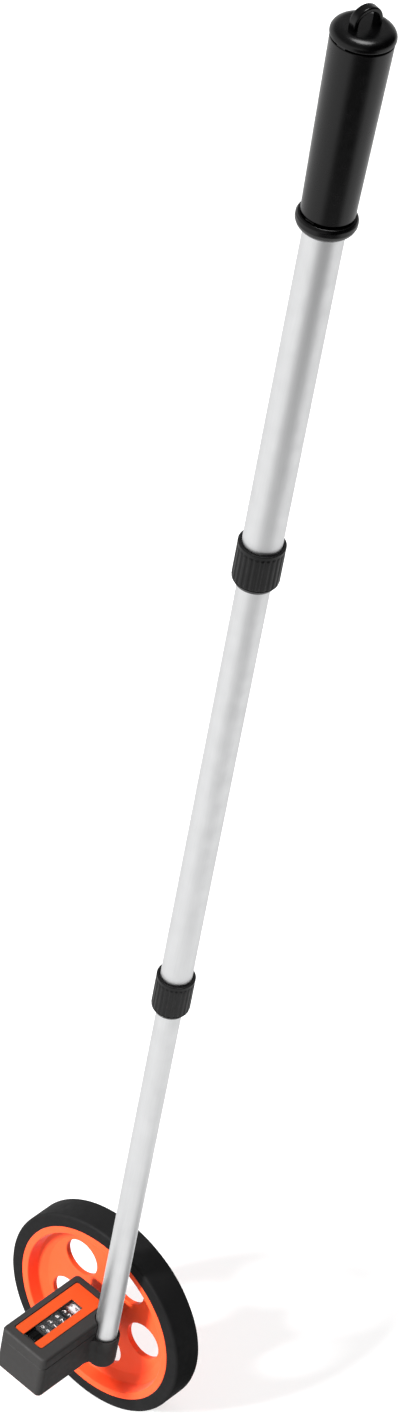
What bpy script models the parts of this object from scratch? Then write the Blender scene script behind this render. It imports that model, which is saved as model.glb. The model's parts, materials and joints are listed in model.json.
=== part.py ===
"""Measuring wheel with a telescoping pole and a five-drum counter.

Metres, +Z up along the pole, +X along the wheel's axle from the wheel to the counter box.
The origin is on the ground that the tyre stands on, in the middle of the part's overall box.
Heights and places named below are taken from the centre of the axle, where its middle plane is X zero.
"""

from math import acos, atan2, cos, hypot, pi, radians, sin, sqrt, tan

import bmesh
import bpy
from mathutils import Matrix, Vector

MM = 0.001

# Clearances and cutting
GAP = 0.3 * MM
OVERRUN = 1.0 * MM
WELD = 0.001 * MM

# Wheel
CIRCUMFERENCE = 500 * MM
TYRE_W = 23.3 * MM
TYRE_THICKNESS = 9.98 * MM
TYRE_EDGE = 1.8 * MM
BEAD_H = 1.5 * MM
BEAD_W = 7.4 * MM
RIM_INSET = 0.15 * MM
RIM_LIP = 5.3 * MM
RIM_LEAN = 1.8 * MM
RIM_FILLET_DEPTH = 2.5 * MM
RIM_FILLET_W = 7.2 * MM
WEB_THICKNESS = 4.3 * MM
WEB_SHIFT = -2.5 * MM
WEB_HOLES = 5
WEB_HOLE_R = 14.5 * MM
WEB_HOLE_CIRCLE_R = 38 * MM
WEB_HOLE_TURN = radians(-7.5)
HUB_R = 11 * MM
HUB_BACK = 5.5 * MM
HUB_CHAMFER = 0.8 * MM

# Axle and what sits on it
AXLE_R = 3 * MM
AXLE_CHAMFER = 0.4 * MM
WASHER_R = 6.5 * MM
WASHER_T = 1.0 * MM
NUT_FLATS = 10 * MM
NUT_H = 3.2 * MM
AXLE_TAIL = 0.9 * MM
CLIP_T = 0.8 * MM
CLIP_REACH = 1.4 * MM
CLIP_GROOVE_DEPTH = 0.6 * MM
CLIP_MOUTH = radians(70)
BUSH_WALL = 1.7 * MM
BUSH_FLANGE = 1.5 * MM
BUSH_FLANGE_T = 1.0 * MM

# Counter box
BOX_INTO_WHEEL = 0.75 * MM
BOX_W = 41.6 * MM
BOX_SHIFT_Y = 0.6 * MM
BOX_BOTTOM = 14 * MM
LID_H = 9.5 * MM
LID_ABOVE_DRUMS = 3.16 * MM
CORNER_R = 4 * MM
EDGE_R = 2.0 * MM
BOTTOM_EDGE_R = 2.8 * MM
WALL = 2.0 * MM
LID_TOP = 2.8 * MM
BOSS_WALL = 2.2 * MM
BOSS_L = 3.3 * MM

# Label and window on the lid
LABEL_W = 26.2 * MM
LABEL_T = 0.5 * MM
LABEL_RECESS = 0.9 * MM
LABEL_FROM_END = 6 * MM
LABEL_SHIFT_Y = -1.75 * MM
LABEL_CORNER_R = 1.6 * MM
WINDOW_W = 10.6 * MM
WINDOW_START = 20.6 * MM
LENS_T = 0.9 * MM
LENS_LEDGE = 1.1 * MM
KNOB_ROOM = 1.3 * MM
LABEL_PAST_KNOB = 1.6 * MM
LABEL_TO_END = 7.2 * MM

# Casing screws
SCREW_R = 1.2 * MM
SCREW_HEAD_R = 2.5 * MM
SCREW_HEAD_H = 1.9 * MM
SCREW_END = 2.2 * MM
BOSS_FLOOR = 0.8 * MM
SCREW_SLOT_W = 0.8 * MM
SCREW_SLOT_DEPTH = 0.8 * MM
POST_WALL = 1.1 * MM
POST_INTO_WALL = 0.4 * MM
FOURTH_POST_FROM_END = 29 * MM

# Gear train from the axle to the counter
GEAR_ROOT_WALL = 0.275 * MM
DRIVE_TEETH = 13
COUNTER_TEETH = 26
GEAR_W = 4 * MM
GEAR_START = 10.6 * MM
PRESSURE_ANGLE = radians(25)
ADDENDUM = 0.7
DEDENDUM = 1.0
BACKLASH = 0.16

# Counter
COUNTER_SHIFT_Y = -0.9 * MM
DRUM_COUNT = 5
DRUM_R = 9.2 * MM
DRUM_PITCH = 7.3 * MM
DRUM_START = 19.5 * MM
RING_W = 1.1 * MM
CARRY_W = 0.9 * MM
COUNTER_SHAFT_R = 1.5 * MM
SHAFT_HEAD_R = 3 * MM
SHAFT_HEAD_T = 1.3 * MM
SLEEVE_WALL = 1.2 * MM
CARRY_MODULE = 0.8 * MM
RING_TEETH = 20
PINION_TEETH = 8
PINION_SHAFT_R = 1 * MM
PINION_TURN = radians(225)
KNOB_R = 10.4 * MM
KNOB_W = 8.6 * MM
KNOB_RIBS = 24
KNOB_RIB_DEPTH = 0.5 * MM

# Counter frame
PLATE_T = 1.2 * MM
FRAME_START = 17.3 * MM
FRAME_LOW_SIDE = 12.1 * MM
FRAME_DRUM_ROOM = 0.9 * MM
FRAME_RAIL_TOP = 5 * MM
STOP_W = 5.5 * MM
STOP_H = 4 * MM

# Pole
BOTTOM_TUBE_R = 8.5 * MM
TUBE_WALL = 1.0 * MM
TUBE_ROOM = 1.0 * MM
TUBE_FROM_END = 5.4 * MM
TUBE_IN_SIDE = 7.4 * MM
BOTTOM_TUBE_TOP = 400 * MM
MIDDLE_TUBE_BOTTOM = 342.5 * MM
MIDDLE_TUBE_TOP = 770 * MM
TOP_TUBE_BOTTOM = 711 * MM
GUIDE_HEAD_H = 8 * MM
GUIDE_SPIGOT_L = 14 * MM
GUIDE_WALL = 2.8 * MM

# Socket on the casing
SOCKET_WALL = 1.7 * MM
SOCKET_MOUTH = 10 * MM
SOCKET_BOTTOM = 17 * MM
SOCKET_FLOOR = 3.2 * MM
SOCKET_EDGE = 2.5 * MM
SOCKET_FILLET_R = 5 * MM
POLE_NOTCH_CLEARANCE = 0.8 * MM
NOTCH_END_ANGLE = radians(30)
PLUG_H = 10 * MM
TUBE_SCREW_R = 1.5 * MM
TUBE_SCREW_HEAD_R = 3 * MM
TUBE_SCREW_HEAD_H = 1.3 * MM
TUBE_SCREW_GRIP = 8.5 * MM

# Twist locks
COLLAR_H = 31 * MM
COLLAR_WALL = 2.1 * MM
COLLAR_BELOW_TUBE = 7.5 * MM
COLLAR_CHAMFER = 2.2 * MM
COLLAR_CHAMFER_H = 3.5 * MM
COLLAR_RIM_H = 3.5 * MM
COLLAR_RIM_LIP = 0.35 * MM
COLLAR_MOUTH_GAP = 0.6 * MM
COLLAR_LIP_H = 1.2 * MM
COLLAR_RIBS = 24
RIB_DEPTH = 0.55 * MM
COLLET_H = 5.4 * MM
COLLET_SLIT = 1.6 * MM

# Grip
GRIP_FLANGE_BOTTOM = 968 * MM
GRIP_FLANGE_H = 10 * MM
FLANGE_PAST_GRIP = 2.3 * MM
FLANGE_FOOT_WALL = 2.1 * MM
FLANGE_SHARES = ((0.7, 1.0), (1.0, 0.75), (1.0, 0.5), (0.65, 0.2), (0.0, 0.0))
GRIP_L = 120 * MM
GRIP_WALL = 3.5 * MM
GRIP_FLARE = 2.5 * MM
GROOVE_W = 1.3 * MM
GROOVE_DEPTH = 1.6 * MM
KEY_W = 6 * MM
CAP_PAST_GRIP = 0.5 * MM
CAP_H = 6.5 * MM
CAP_SHOULDER = 6.5 * MM
CAP_SHARES = ((0.0, 1.0), (0.6, 0.88), (0.9, 0.67), (1.0, 0.42), (1.0, 0.15), (0.88, 0.0))
SPIGOT_L = 18 * MM
LOOP_R = 9.7 * MM
LOOP_H = 13 * MM
LOOP_T = 3.2 * MM
LOOP_W = 6 * MM
LOOP_TURN = radians(-14)
LOOP_EDGE = 0.9 * MM
LOOP_ROOT = 2.6 * MM

# Facets of round pieces
WHEEL_STEPS = 48
TUBE_STEPS = 24
SMALL_STEPS = 12
DRUM_STEPS = 20
GRIP_STEPS = 28
CORNER_STEPS = 3
EDGE_STEPS = 2
ARCH_STEPS = 12
HALF_STEP = pi / SMALL_STEPS
SHARP_ANGLE = radians(35)
FLAT_ANGLE = radians(0.5)

# Derived sizes of the wheel and axle
WHEEL_R = CIRCUMFERENCE / (2 * pi)
TYRE_INNER_R = WHEEL_R - TYRE_THICKNESS
RIM_R = TYRE_INNER_R - GAP
RIM_HALF_W = TYRE_W / 2 - RIM_INSET
BOX_X0 = TYRE_W / 2 - BOX_INTO_WHEEL
HUB_FRONT = BOX_X0 - BUSH_FLANGE_T - WASHER_T - 3 * GAP
AXLE_BORE_R = AXLE_R + GAP
CLIP_R = AXLE_R + CLIP_REACH
BUSH_R = AXLE_BORE_R + BUSH_WALL
BUSH_SEAT_R = BUSH_R + GAP

# Derived places of the counter
MODULE = (AXLE_BORE_R + GEAR_ROOT_WALL) / (DRIVE_TEETH / 2 - DEDENDUM)
CENTRE_DISTANCE = MODULE * (DRIVE_TEETH + COUNTER_TEETH) / 2
COUNTER_Y = COUNTER_SHIFT_Y
COUNTER_Z = sqrt(CENTRE_DISTANCE ** 2 - COUNTER_Y ** 2)
PINION_DISTANCE = CARRY_MODULE * (RING_TEETH + PINION_TEETH) / 2
PINION_Y = COUNTER_Y + PINION_DISTANCE * cos(PINION_TURN)
PINION_Z = COUNTER_Z + PINION_DISTANCE * sin(PINION_TURN)
GEAR_X = BOX_X0 + GEAR_START
DRUM_X = BOX_X0 + DRUM_START
DRUM_W = DRUM_PITCH - GAP
FRAME_X0 = BOX_X0 + FRAME_START
FRAME_IN_X1 = DRUM_X + DRUM_COUNT * DRUM_PITCH + GAP
FRAME_X1 = FRAME_IN_X1 + PLATE_T
KNOB_X = FRAME_X1 + 2 * GAP
KNOB_OPENING_END = KNOB_X + KNOB_W + KNOB_ROOM
LABEL_END = KNOB_OPENING_END + LABEL_PAST_KNOB
BOX_X1 = LABEL_END + LABEL_TO_END
AXLE_CENTRE_X = (TYRE_W / 2 - BOX_X1) / 2
SHAFT_BORE_R = COUNTER_SHAFT_R + GAP
SLEEVE_R = SHAFT_BORE_R + SLEEVE_WALL

# Derived heights and sides of the box
BOX_Y0 = BOX_SHIFT_Y - BOX_W / 2
BOX_Y1 = BOX_SHIFT_Y + BOX_W / 2
BOX_TOP = COUNTER_Z + DRUM_R + LID_ABOVE_DRUMS
SEAM = BOX_TOP - LID_H
FLOOR = -BOX_BOTTOM + WALL
CEILING = BOX_TOP - LID_TOP

# Derived sizes and places of the pole
MIDDLE_TUBE_R = BOTTOM_TUBE_R + TUBE_ROOM + TUBE_WALL
TOP_TUBE_R = MIDDLE_TUBE_R + TUBE_ROOM + TUBE_WALL
POLE_X = BOX_X0 + TUBE_FROM_END + BOTTOM_TUBE_R
POLE_Y = BOX_Y1 - TUBE_IN_SIDE + BOTTOM_TUBE_R
SOCKET_R = BOTTOM_TUBE_R + GAP + SOCKET_WALL
NOTCH_R = BOTTOM_TUBE_R + POLE_NOTCH_CLEARANCE
KEEP_OUT_R = NOTCH_R + WALL
SOCKET_BORE_BOTTOM = -SOCKET_BOTTOM + SOCKET_FLOOR
TUBE_BOTTOM = SOCKET_BORE_BOTTOM + GAP
GRIP_BOTTOM = GRIP_FLANGE_BOTTOM + GRIP_FLANGE_H
GRIP_TOP = GRIP_BOTTOM + GRIP_L
GRIP_BORE_R = TOP_TUBE_R + GAP
GRIP_LOW_R = TOP_TUBE_R + GRIP_WALL
GRIP_TOP_R = GRIP_LOW_R + GRIP_FLARE
GRIP_FLANGE_R = GRIP_LOW_R + FLANGE_PAST_GRIP
GRIP_FLANGE_LOW_R = TOP_TUBE_R + FLANGE_FOOT_WALL
CAP_R = GRIP_TOP_R + CAP_PAST_GRIP
CAP_FLAT_R = CAP_R - CAP_SHOULDER


def clear_scene():
    """Remove every object, so that the part is alone in the file."""
    for obj in list(bpy.data.objects):
        bpy.data.objects.remove(obj, do_unlink=True)


def new_collection(name):
    collection = bpy.data.collections.new(name)
    bpy.context.scene.collection.children.link(collection)
    return collection


def new_material(name, colour, roughness, metallic=0.0):
    material = bpy.data.materials.new(name)
    material.use_nodes = True
    shader = material.node_tree.nodes["Principled BSDF"]
    shader.inputs["Base Color"].default_value = (*colour, 1.0)
    shader.inputs["Roughness"].default_value = roughness
    shader.inputs["Metallic"].default_value = metallic
    material.diffuse_color = (*colour, 1.0)
    return material


def add_axis(name, parent=None, location=(0, 0, 0), along_x=False):
    """An empty on an axis. Its local Z is the axis, so along_x turns it to the row's X."""
    empty = bpy.data.objects.new(name, None)
    PART.objects.link(empty)
    empty.parent = parent
    empty.location = location
    empty.rotation_euler = (0, pi / 2 if along_x else 0, 0)
    return empty


def add_object(name, mesh, axis, material=None, turn=0.0, at=(0, 0)):
    """Put a mesh on an axis. A piece has a material, a cutter has none."""
    obj = bpy.data.objects.new(name, mesh)
    (PART if material else CUTTERS).objects.link(obj)
    obj.parent = axis
    obj.location = (*at, 0)
    obj.rotation_euler = (0, 0, turn)
    if material:
        mesh.materials.append(material)
        mesh.shade_smooth()
        mesh.set_sharp_from_angle(angle=SHARP_ANGLE)
    else:
        obj.hide_render = True
        obj.display_type = "WIRE"
    return obj


def evaluated_mesh(obj):
    """The object's mesh with its modifiers or its curve applied, and the object removed."""
    bpy.context.view_layer.update()
    graph = bpy.context.evaluated_depsgraph_get()
    mesh = bpy.data.meshes.new_from_object(obj.evaluated_get(graph))
    bpy.data.objects.remove(obj, do_unlink=True)
    return mesh


def cleaned(mesh, flat_angle=0.0):
    """Weld the mesh's doubled points, join its flat faces and turn its faces outward."""
    work = bmesh.new()
    work.from_mesh(mesh)
    bmesh.ops.remove_doubles(work, verts=work.verts, dist=WELD)
    if flat_angle:
        bmesh.ops.dissolve_limit(work, angle_limit=flat_angle, verts=work.verts, edges=work.edges)
    bmesh.ops.recalc_face_normals(work, faces=work.faces)
    work.to_mesh(mesh)
    work.free()
    return mesh


def turned_mesh(profile, steps, closed):
    """Turn a profile of (radius, height) points about Z, drawn down its outer side."""
    mesh = bpy.data.meshes.new("profile")
    edges = [(i, i + 1) for i in range(len(profile) - 1)]
    if closed:
        edges.append((len(profile) - 1, 0))
    mesh.from_pydata([(r, 0, z) for r, z in profile], edges, [])
    obj = bpy.data.objects.new("profile", mesh)
    bpy.context.scene.collection.objects.link(obj)
    screw = obj.modifiers.new("Screw", "SCREW")
    screw.steps = steps
    screw.render_steps = steps
    screw.use_merge_vertices = True
    screw.merge_threshold = WELD
    return cleaned(evaluated_mesh(obj))


def ring(name, profile, axis, material=None, steps=TUBE_STEPS, at=(0, 0), turn=0.0):
    """A turned piece with a bore: its profile is a closed loop."""
    return add_object(name, turned_mesh(profile, steps, True), axis, material, turn, at)


def solid(name, profile, axis, material=None, steps=TUBE_STEPS, at=(0, 0), turn=0.0):
    """A turned piece without a bore: its profile starts and ends on the axis."""
    return add_object(name, turned_mesh(profile, steps, False), axis, material, turn, at)


def sleeve_profile(outer_r, inner_r, low, high):
    return [(outer_r, high), (outer_r, low), (inner_r, low), (inner_r, high)]


def rod_profile(radius, low, high, chamfer=0.0):
    if not chamfer:
        return [(0, high), (radius, high), (radius, low), (0, low)]
    return [(0, high), (radius - chamfer, high), (radius, high - chamfer),
            (radius, low + chamfer), (radius - chamfer, low), (0, low)]


def outline_mesh(loops, low, high):
    """Extrude flat loops of (x, y) points from low to high. Loops after the first are holes."""
    curve = bpy.data.curves.new("outline", "CURVE")
    curve.dimensions = "2D"
    curve.fill_mode = "BOTH"
    curve.extrude = (high - low) / 2
    for loop in loops:
        spline = curve.splines.new("POLY")
        spline.points.add(len(loop) - 1)
        for point, (x, y) in zip(spline.points, loop):
            point.co = (x, y, 0, 1)
        spline.use_cyclic_u = True
    obj = bpy.data.objects.new("outline", curve)
    bpy.context.scene.collection.objects.link(obj)
    mesh = cleaned(evaluated_mesh(obj), FLAT_ANGLE)
    mesh.transform(Matrix.Translation((0, 0, (high + low) / 2)))
    return mesh


def slab(name, loops, low, high, axis, material=None, turn=0.0, at=(0, 0)):
    return add_object(name, outline_mesh(loops, low, high), axis, material, turn, at)


def block(name, low, high, axis):
    """A box between two corners, for cutting or joining."""
    mesh = bpy.data.meshes.new(name)
    work = bmesh.new()
    bmesh.ops.create_cube(work, size=1.0)
    size = Vector(high) - Vector(low)
    middle = (Vector(high) + Vector(low)) / 2
    for vert in work.verts:
        vert.co = Vector((vert.co.x * size.x, vert.co.y * size.y, vert.co.z * size.z)) + middle
    work.to_mesh(mesh)
    work.free()
    return add_object(name, mesh, axis)


def boolean(obj, other, operation):
    modifier = obj.modifiers.new(other.name, "BOOLEAN")
    modifier.operation = operation
    modifier.solver = "EXACT"
    modifier.object = other


def cut(obj, *others):
    for other in others:
        boolean(obj, other, "DIFFERENCE")


def join(obj, *others):
    for other in others:
        boolean(obj, other, "UNION")


def round_edges(mesh, chosen, width, segments):
    """Round the sharp edges that the test picks, which takes an edge's two points."""
    work = bmesh.new()
    work.from_mesh(mesh)
    edges = [edge for edge in work.edges if edge.calc_face_angle() > SHARP_ANGLE
             and chosen(edge.verts[0].co, edge.verts[1].co)]
    bmesh.ops.bevel(work, geom=edges, offset=width, segments=segments, profile=0.5, affect="EDGES")
    bmesh.ops.dissolve_degenerate(work, dist=WELD, edges=work.edges)
    work.to_mesh(mesh)
    work.free()


def arc(centre, radius, start, end, steps):
    """Points on an arc, both ends included, angles in radians."""
    return [(centre[0] + radius * cos(start + (end - start) * i / steps),
             centre[1] + radius * sin(start + (end - start) * i / steps)) for i in range(steps + 1)]


def circle(radius, steps, centre=(0, 0)):
    return arc(centre, radius, 0, 2 * pi * (steps - 1) / steps, steps - 1)


def rounded_rectangle(x0, x1, y0, y1, radius):
    loop = []
    corners = [(x0 + radius, y0 + radius, pi), (x1 - radius, y0 + radius, 1.5 * pi),
               (x1 - radius, y1 - radius, 0), (x0 + radius, y1 - radius, 0.5 * pi)]
    for x, y, start in corners:
        loop += arc((x, y), radius, start, start + pi / 2, CORNER_STEPS)
    return loop


def notched_rectangle(x0, x1, y0, y1, radius, centre, notch_r):
    """A rounded rectangle whose low-x, high-y corner is cut off by a circle outside it."""
    loop = []
    for x, y, start in [(x0 + radius, y0 + radius, pi), (x1 - radius, y0 + radius, 1.5 * pi),
                        (x1 - radius, y1 - radius, 0)]:
        loop += arc((x, y), radius, start, start + pi / 2, CORNER_STEPS)
    on_side = (centre[0] + sqrt(notch_r ** 2 - (centre[1] - y1) ** 2), y1)
    end_x = max(x0, centre[0] - notch_r * cos(NOTCH_END_ANGLE))
    on_end = (end_x, centre[1] - sqrt(notch_r ** 2 - (centre[0] - end_x) ** 2))
    start = atan2(on_side[1] - centre[1], on_side[0] - centre[0])
    end = atan2(on_end[1] - centre[1], on_end[0] - centre[0])
    loop += arc(centre, notch_r, start, end, 2 * CORNER_STEPS)
    return loop + [(x0, on_end[1])] if end_x > x0 else loop


def involute(angle):
    return tan(angle) - angle


def gear_loop(teeth, module, pointing):
    """A spur gear's outline with a tooth pointing at an angle of the local XY plane."""
    pitch_r = module * teeth / 2
    base_r = pitch_r * cos(PRESSURE_ANGLE)
    radii = [pitch_r - DEDENDUM * module, pitch_r + ADDENDUM * module]
    halves = []
    for radius in radii:
        at_radius = acos(min(1.0, base_r / radius))
        halves.append(pi * (1 - BACKLASH) / (2 * teeth) + involute(PRESSURE_ANGLE) - involute(at_radius))
    loop = []
    for tooth in range(teeth):
        middle = pointing + 2 * pi * tooth / teeth
        loop += [(r * cos(middle - half), r * sin(middle - half)) for r, half in zip(radii, halves)]
        loop += [(r * cos(middle + half), r * sin(middle + half))
                 for r, half in reversed(list(zip(radii, halves)))]
    return loop


def on_x_axis(dy, dz):
    """The local angle, on an axis that runs along X, of a direction in the YZ plane."""
    return atan2(dy, -dz)


def build_wheel(axis, looks):
    half, edge = TYRE_W / 2, TYRE_EDGE
    soft = edge * (1 - cos(pi / 4))
    bead_r, bead_half = TYRE_INNER_R - BEAD_H, BEAD_W / 2
    ring("tyre", [
        (WHEEL_R - edge, half), (WHEEL_R - soft, half - soft), (WHEEL_R, half - edge),
        (WHEEL_R, edge - half), (WHEEL_R - soft, soft - half), (WHEEL_R - edge, -half),
        (TYRE_INNER_R, -half), (TYRE_INNER_R, -bead_half), (bead_r, -bead_half),
        (bead_r, bead_half), (TYRE_INNER_R, bead_half), (TYRE_INNER_R, half)],
        axis, looks["rubber"], WHEEL_STEPS)

    lip_r = RIM_R - RIM_LIP
    deep_r = lip_r - RIM_LEAN
    front, back = WEB_SHIFT + WEB_THICKNESS / 2, WEB_SHIFT - WEB_THICKNESS / 2
    deep_front, deep_back = front + RIM_FILLET_DEPTH, back - RIM_FILLET_DEPTH
    fillet_r = deep_r - RIM_FILLET_W
    groove_r, groove_half = bead_r - GAP, bead_half + GAP
    face = RIM_HALF_W
    disc = ring("wheel_disc", [
        (RIM_R, face), (RIM_R, groove_half), (groove_r, groove_half), (groove_r, -groove_half),
        (RIM_R, -groove_half), (RIM_R, -face), (lip_r, -face), (deep_r, deep_back), (fillet_r, back),
        (HUB_R, back), (HUB_R - HUB_CHAMFER, -HUB_BACK), (AXLE_BORE_R, -HUB_BACK),
        (AXLE_BORE_R, HUB_FRONT), (HUB_R - HUB_CHAMFER, HUB_FRONT), (HUB_R, front),
        (fillet_r, front), (deep_r, deep_front), (lip_r, face)], axis, looks["orange"], WHEEL_STEPS)
    for i in range(WEB_HOLES):
        turn = WEB_HOLE_TURN + 2 * pi * i / WEB_HOLES
        local = on_x_axis(cos(turn), sin(turn))
        place = (WEB_HOLE_CIRCLE_R * cos(local), WEB_HOLE_CIRCLE_R * sin(local))
        cut(disc, solid(f"web_hole_cutter_{i + 1}", rod_profile(WEB_HOLE_R, back - OVERRUN, front + OVERRUN),
                        axis, steps=DRUM_STEPS, at=place))


def build_axle(axis, looks):
    washer_back = -HUB_BACK - GAP
    nut_front = washer_back - WASHER_T - GAP
    nut_back = nut_front - NUT_H
    clip_x = outer_bush_places()[2] + GAP
    groove = (clip_x - GAP / 2, clip_x + CLIP_T + GAP / 2)
    end = groove[1] + 2 * AXLE_CHAMFER
    groove_r = AXLE_R - CLIP_GROOVE_DEPTH
    solid("axle", [
        (0, end), (AXLE_R - AXLE_CHAMFER, end), (AXLE_R, end - AXLE_CHAMFER), (AXLE_R, groove[1]),
        (groove_r, groove[1]), (groove_r, groove[0]), (AXLE_R, groove[0]),
        (AXLE_R, nut_back - AXLE_TAIL + AXLE_CHAMFER), (AXLE_R - AXLE_CHAMFER, nut_back - AXLE_TAIL),
        (0, nut_back - AXLE_TAIL)], axis, looks["steel"], SMALL_STEPS)
    ring("nut_washer", sleeve_profile(WASHER_R, AXLE_BORE_R, washer_back - WASHER_T, washer_back),
         axis, looks["steel"], SMALL_STEPS)
    hexagon = circle(NUT_FLATS / 2 / cos(pi / 6), 6)
    slab("axle_nut", [hexagon, circle(AXLE_BORE_R, SMALL_STEPS)], nut_back, nut_front, axis, looks["steel"])
    hub_washer = HUB_FRONT + GAP
    ring("hub_washer", sleeve_profile(WASHER_R, AXLE_BORE_R, hub_washer, hub_washer + WASHER_T),
         axis, looks["steel"], SMALL_STEPS)

    inner_r = groove_r + GAP
    start, end_angle = CLIP_MOUTH / 2, 2 * pi - CLIP_MOUTH / 2
    clip = arc((0, 0), CLIP_R, start, end_angle, ARCH_STEPS)
    clip += arc((0, 0), inner_r, end_angle, start, ARCH_STEPS)
    slab("axle_clip", [clip], clip_x, clip_x + CLIP_T, axis, looks["steel"])

    pointing = on_x_axis(COUNTER_Y, COUNTER_Z)
    slab("drive_gear", [gear_loop(DRIVE_TEETH, MODULE, pointing), circle(AXLE_BORE_R, SMALL_STEPS)],
         GEAR_X, GEAR_X + GEAR_W, axis, looks["nylon"])


def outer_bush_places():
    """Flange start, seat start and end of the bush in the counter frame's inner plate."""
    seat = FRAME_X0 - GAP
    return seat - BUSH_FLANGE_T, seat, FRAME_X0 + PLATE_T + GAP


def build_bushes(axis, looks):
    flange_r = BUSH_R + BUSH_FLANGE
    inner_flange = BOX_X0 - GAP - BUSH_FLANGE_T
    inner_end = BOX_X0 + WALL + BOSS_L
    ring("inner_axle_bush", [
        (BUSH_R, inner_end), (BUSH_R, BOX_X0 - GAP), (flange_r, BOX_X0 - GAP), (flange_r, inner_flange),
        (AXLE_BORE_R, inner_flange), (AXLE_BORE_R, inner_end)], axis, looks["bronze"], SMALL_STEPS)
    flange, seat, end = outer_bush_places()
    ring("outer_axle_bush", [
        (BUSH_R, end), (BUSH_R, seat), (flange_r, seat), (flange_r, flange),
        (AXLE_BORE_R, flange), (AXLE_BORE_R, end)], axis, looks["bronze"], SMALL_STEPS)


def post_places():
    """The four casing screws: three in corners, one on the long side past the socket."""
    inset = WALL + SCREW_R + GAP + POST_WALL - POST_INTO_WALL
    low_y, high_y = BOX_Y0 + inset, BOX_Y1 - inset
    return [(BOX_X0 + inset, low_y), (BOX_X1 - inset, low_y), (BOX_X1 - inset, high_y),
            (BOX_X0 + FOURTH_POST_FROM_END, high_y)]


def casing_loop():
    return rounded_rectangle(BOX_X0, BOX_X1, BOX_Y0, BOX_Y1, CORNER_R)


def cavity_loop():
    return notched_rectangle(BOX_X0 + WALL, BOX_X1 - WALL, BOX_Y0 + WALL, BOX_Y1 - WALL, CORNER_R - WALL,
                             (POLE_X, POLE_Y), KEEP_OUT_R)


def socket_fillet_loop():
    """The concave corner between the box's long side and the round socket."""
    side = BOX_Y1
    centre_y = side + SOCKET_FILLET_R
    reach = SOCKET_R + SOCKET_FILLET_R
    centre_x = POLE_X + sqrt(reach ** 2 - (centre_y - POLE_Y) ** 2)
    to_pole = atan2(POLE_Y - centre_y, POLE_X - centre_x)
    curve = arc((centre_x, centre_y), SOCKET_FILLET_R, -pi / 2, to_pole - 2 * pi if to_pole > 0 else to_pole,
                2 * CORNER_STEPS)
    inside = (POLE_X + SOCKET_R / 2, side - WALL / 2)
    return curve + [inside, (centre_x, side - WALL / 2)]


def build_lower_casing(root, pole, axle, looks):
    low = -BOX_BOTTOM
    top = SEAM - GAP
    mesh = outline_mesh([casing_loop()], low, top)
    round_edges(mesh, lambda a, b: max(a.z, b.z) < low + WELD, BOTTOM_EDGE_R, EDGE_STEPS)
    casing = add_object("lower_casing", mesh, root, looks["casing"])

    foot = -SOCKET_BOTTOM
    soft = SOCKET_EDGE * (1 - cos(pi / 4))
    socket = solid("socket_form", [
        (0, SOCKET_MOUTH), (SOCKET_R, SOCKET_MOUTH), (SOCKET_R, foot + SOCKET_EDGE),
        (SOCKET_R - soft, foot + soft), (SOCKET_R - SOCKET_EDGE, foot), (0, foot)], pole)
    fillet = slab("socket_fillet_form", [socket_fillet_loop()], low + BOTTOM_EDGE_R, SOCKET_MOUTH, root)
    join(casing, socket, fillet)
    notch = solid("tube_notch_cutter", rod_profile(NOTCH_R, SOCKET_MOUTH, SEAM + OVERRUN), pole)
    bore = solid("socket_bore_cutter", rod_profile(BOTTOM_TUBE_R + GAP, SOCKET_BORE_BOTTOM,
                                                   SOCKET_MOUTH + OVERRUN), pole)
    cavity = slab("lower_cavity_cutter", [cavity_loop()], FLOOR, top + OVERRUN, root)
    cut(casing, notch, bore, cavity)

    boss_x0, boss_x1 = BOX_X0 + WALL / 2, BOX_X0 + WALL + BOSS_L
    join(casing, solid("bush_boss_form", rod_profile(BUSH_SEAT_R + BOSS_WALL, boss_x0, boss_x1), axle))
    hole_r, post_r = SCREW_R + GAP, SCREW_R + GAP + POST_WALL
    for i, place in enumerate(post_places()):
        join(casing, solid(f"post_form_{i + 1}", rod_profile(post_r, FLOOR - WALL / 2, top), root,
                           steps=SMALL_STEPS, at=place))
    for i, x in enumerate((FRAME_X0 - GAP - PLATE_T, FRAME_X1 + GAP)):
        join(casing, block(f"frame_stop_form_{i + 1}", (x, COUNTER_Y - FRAME_LOW_SIDE, FLOOR - WALL / 2),
                           (x + PLATE_T, COUNTER_Y - FRAME_LOW_SIDE + STOP_W, FLOOR + STOP_H), root))
    cut(casing, solid("bush_seat_cutter", rod_profile(BUSH_SEAT_R, BOX_X0 - OVERRUN, boss_x1 + OVERRUN), axle))
    for i, place in enumerate(post_places()):
        head_top = low + SCREW_HEAD_H + 2 * GAP
        cut(casing, solid(f"screw_hole_cutter_{i + 1}", [
            (0, top + OVERRUN), (hole_r, top + OVERRUN), (hole_r, head_top),
            (SCREW_HEAD_R + GAP, head_top), (SCREW_HEAD_R + GAP, low - OVERRUN), (0, low - OVERRUN)],
            root, steps=SMALL_STEPS, at=place, turn=HALF_STEP))
    recess_top = foot + TUBE_SCREW_HEAD_H + 2 * GAP
    hole_r, head_r = TUBE_SCREW_R + GAP, TUBE_SCREW_HEAD_R + GAP
    cut(casing, solid("tube_screw_cutter", [
        (0, SOCKET_BORE_BOTTOM + OVERRUN), (hole_r, SOCKET_BORE_BOTTOM + OVERRUN), (hole_r, recess_top),
        (head_r, recess_top), (head_r, foot - OVERRUN), (0, foot - OVERRUN)], pole, steps=SMALL_STEPS))


def label_box(grow=0.0):
    x0 = BOX_X0 + LABEL_FROM_END
    y0 = LABEL_SHIFT_Y - LABEL_W / 2
    return x0 - grow, LABEL_END + grow, y0 - grow, y0 + LABEL_W + grow


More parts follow.
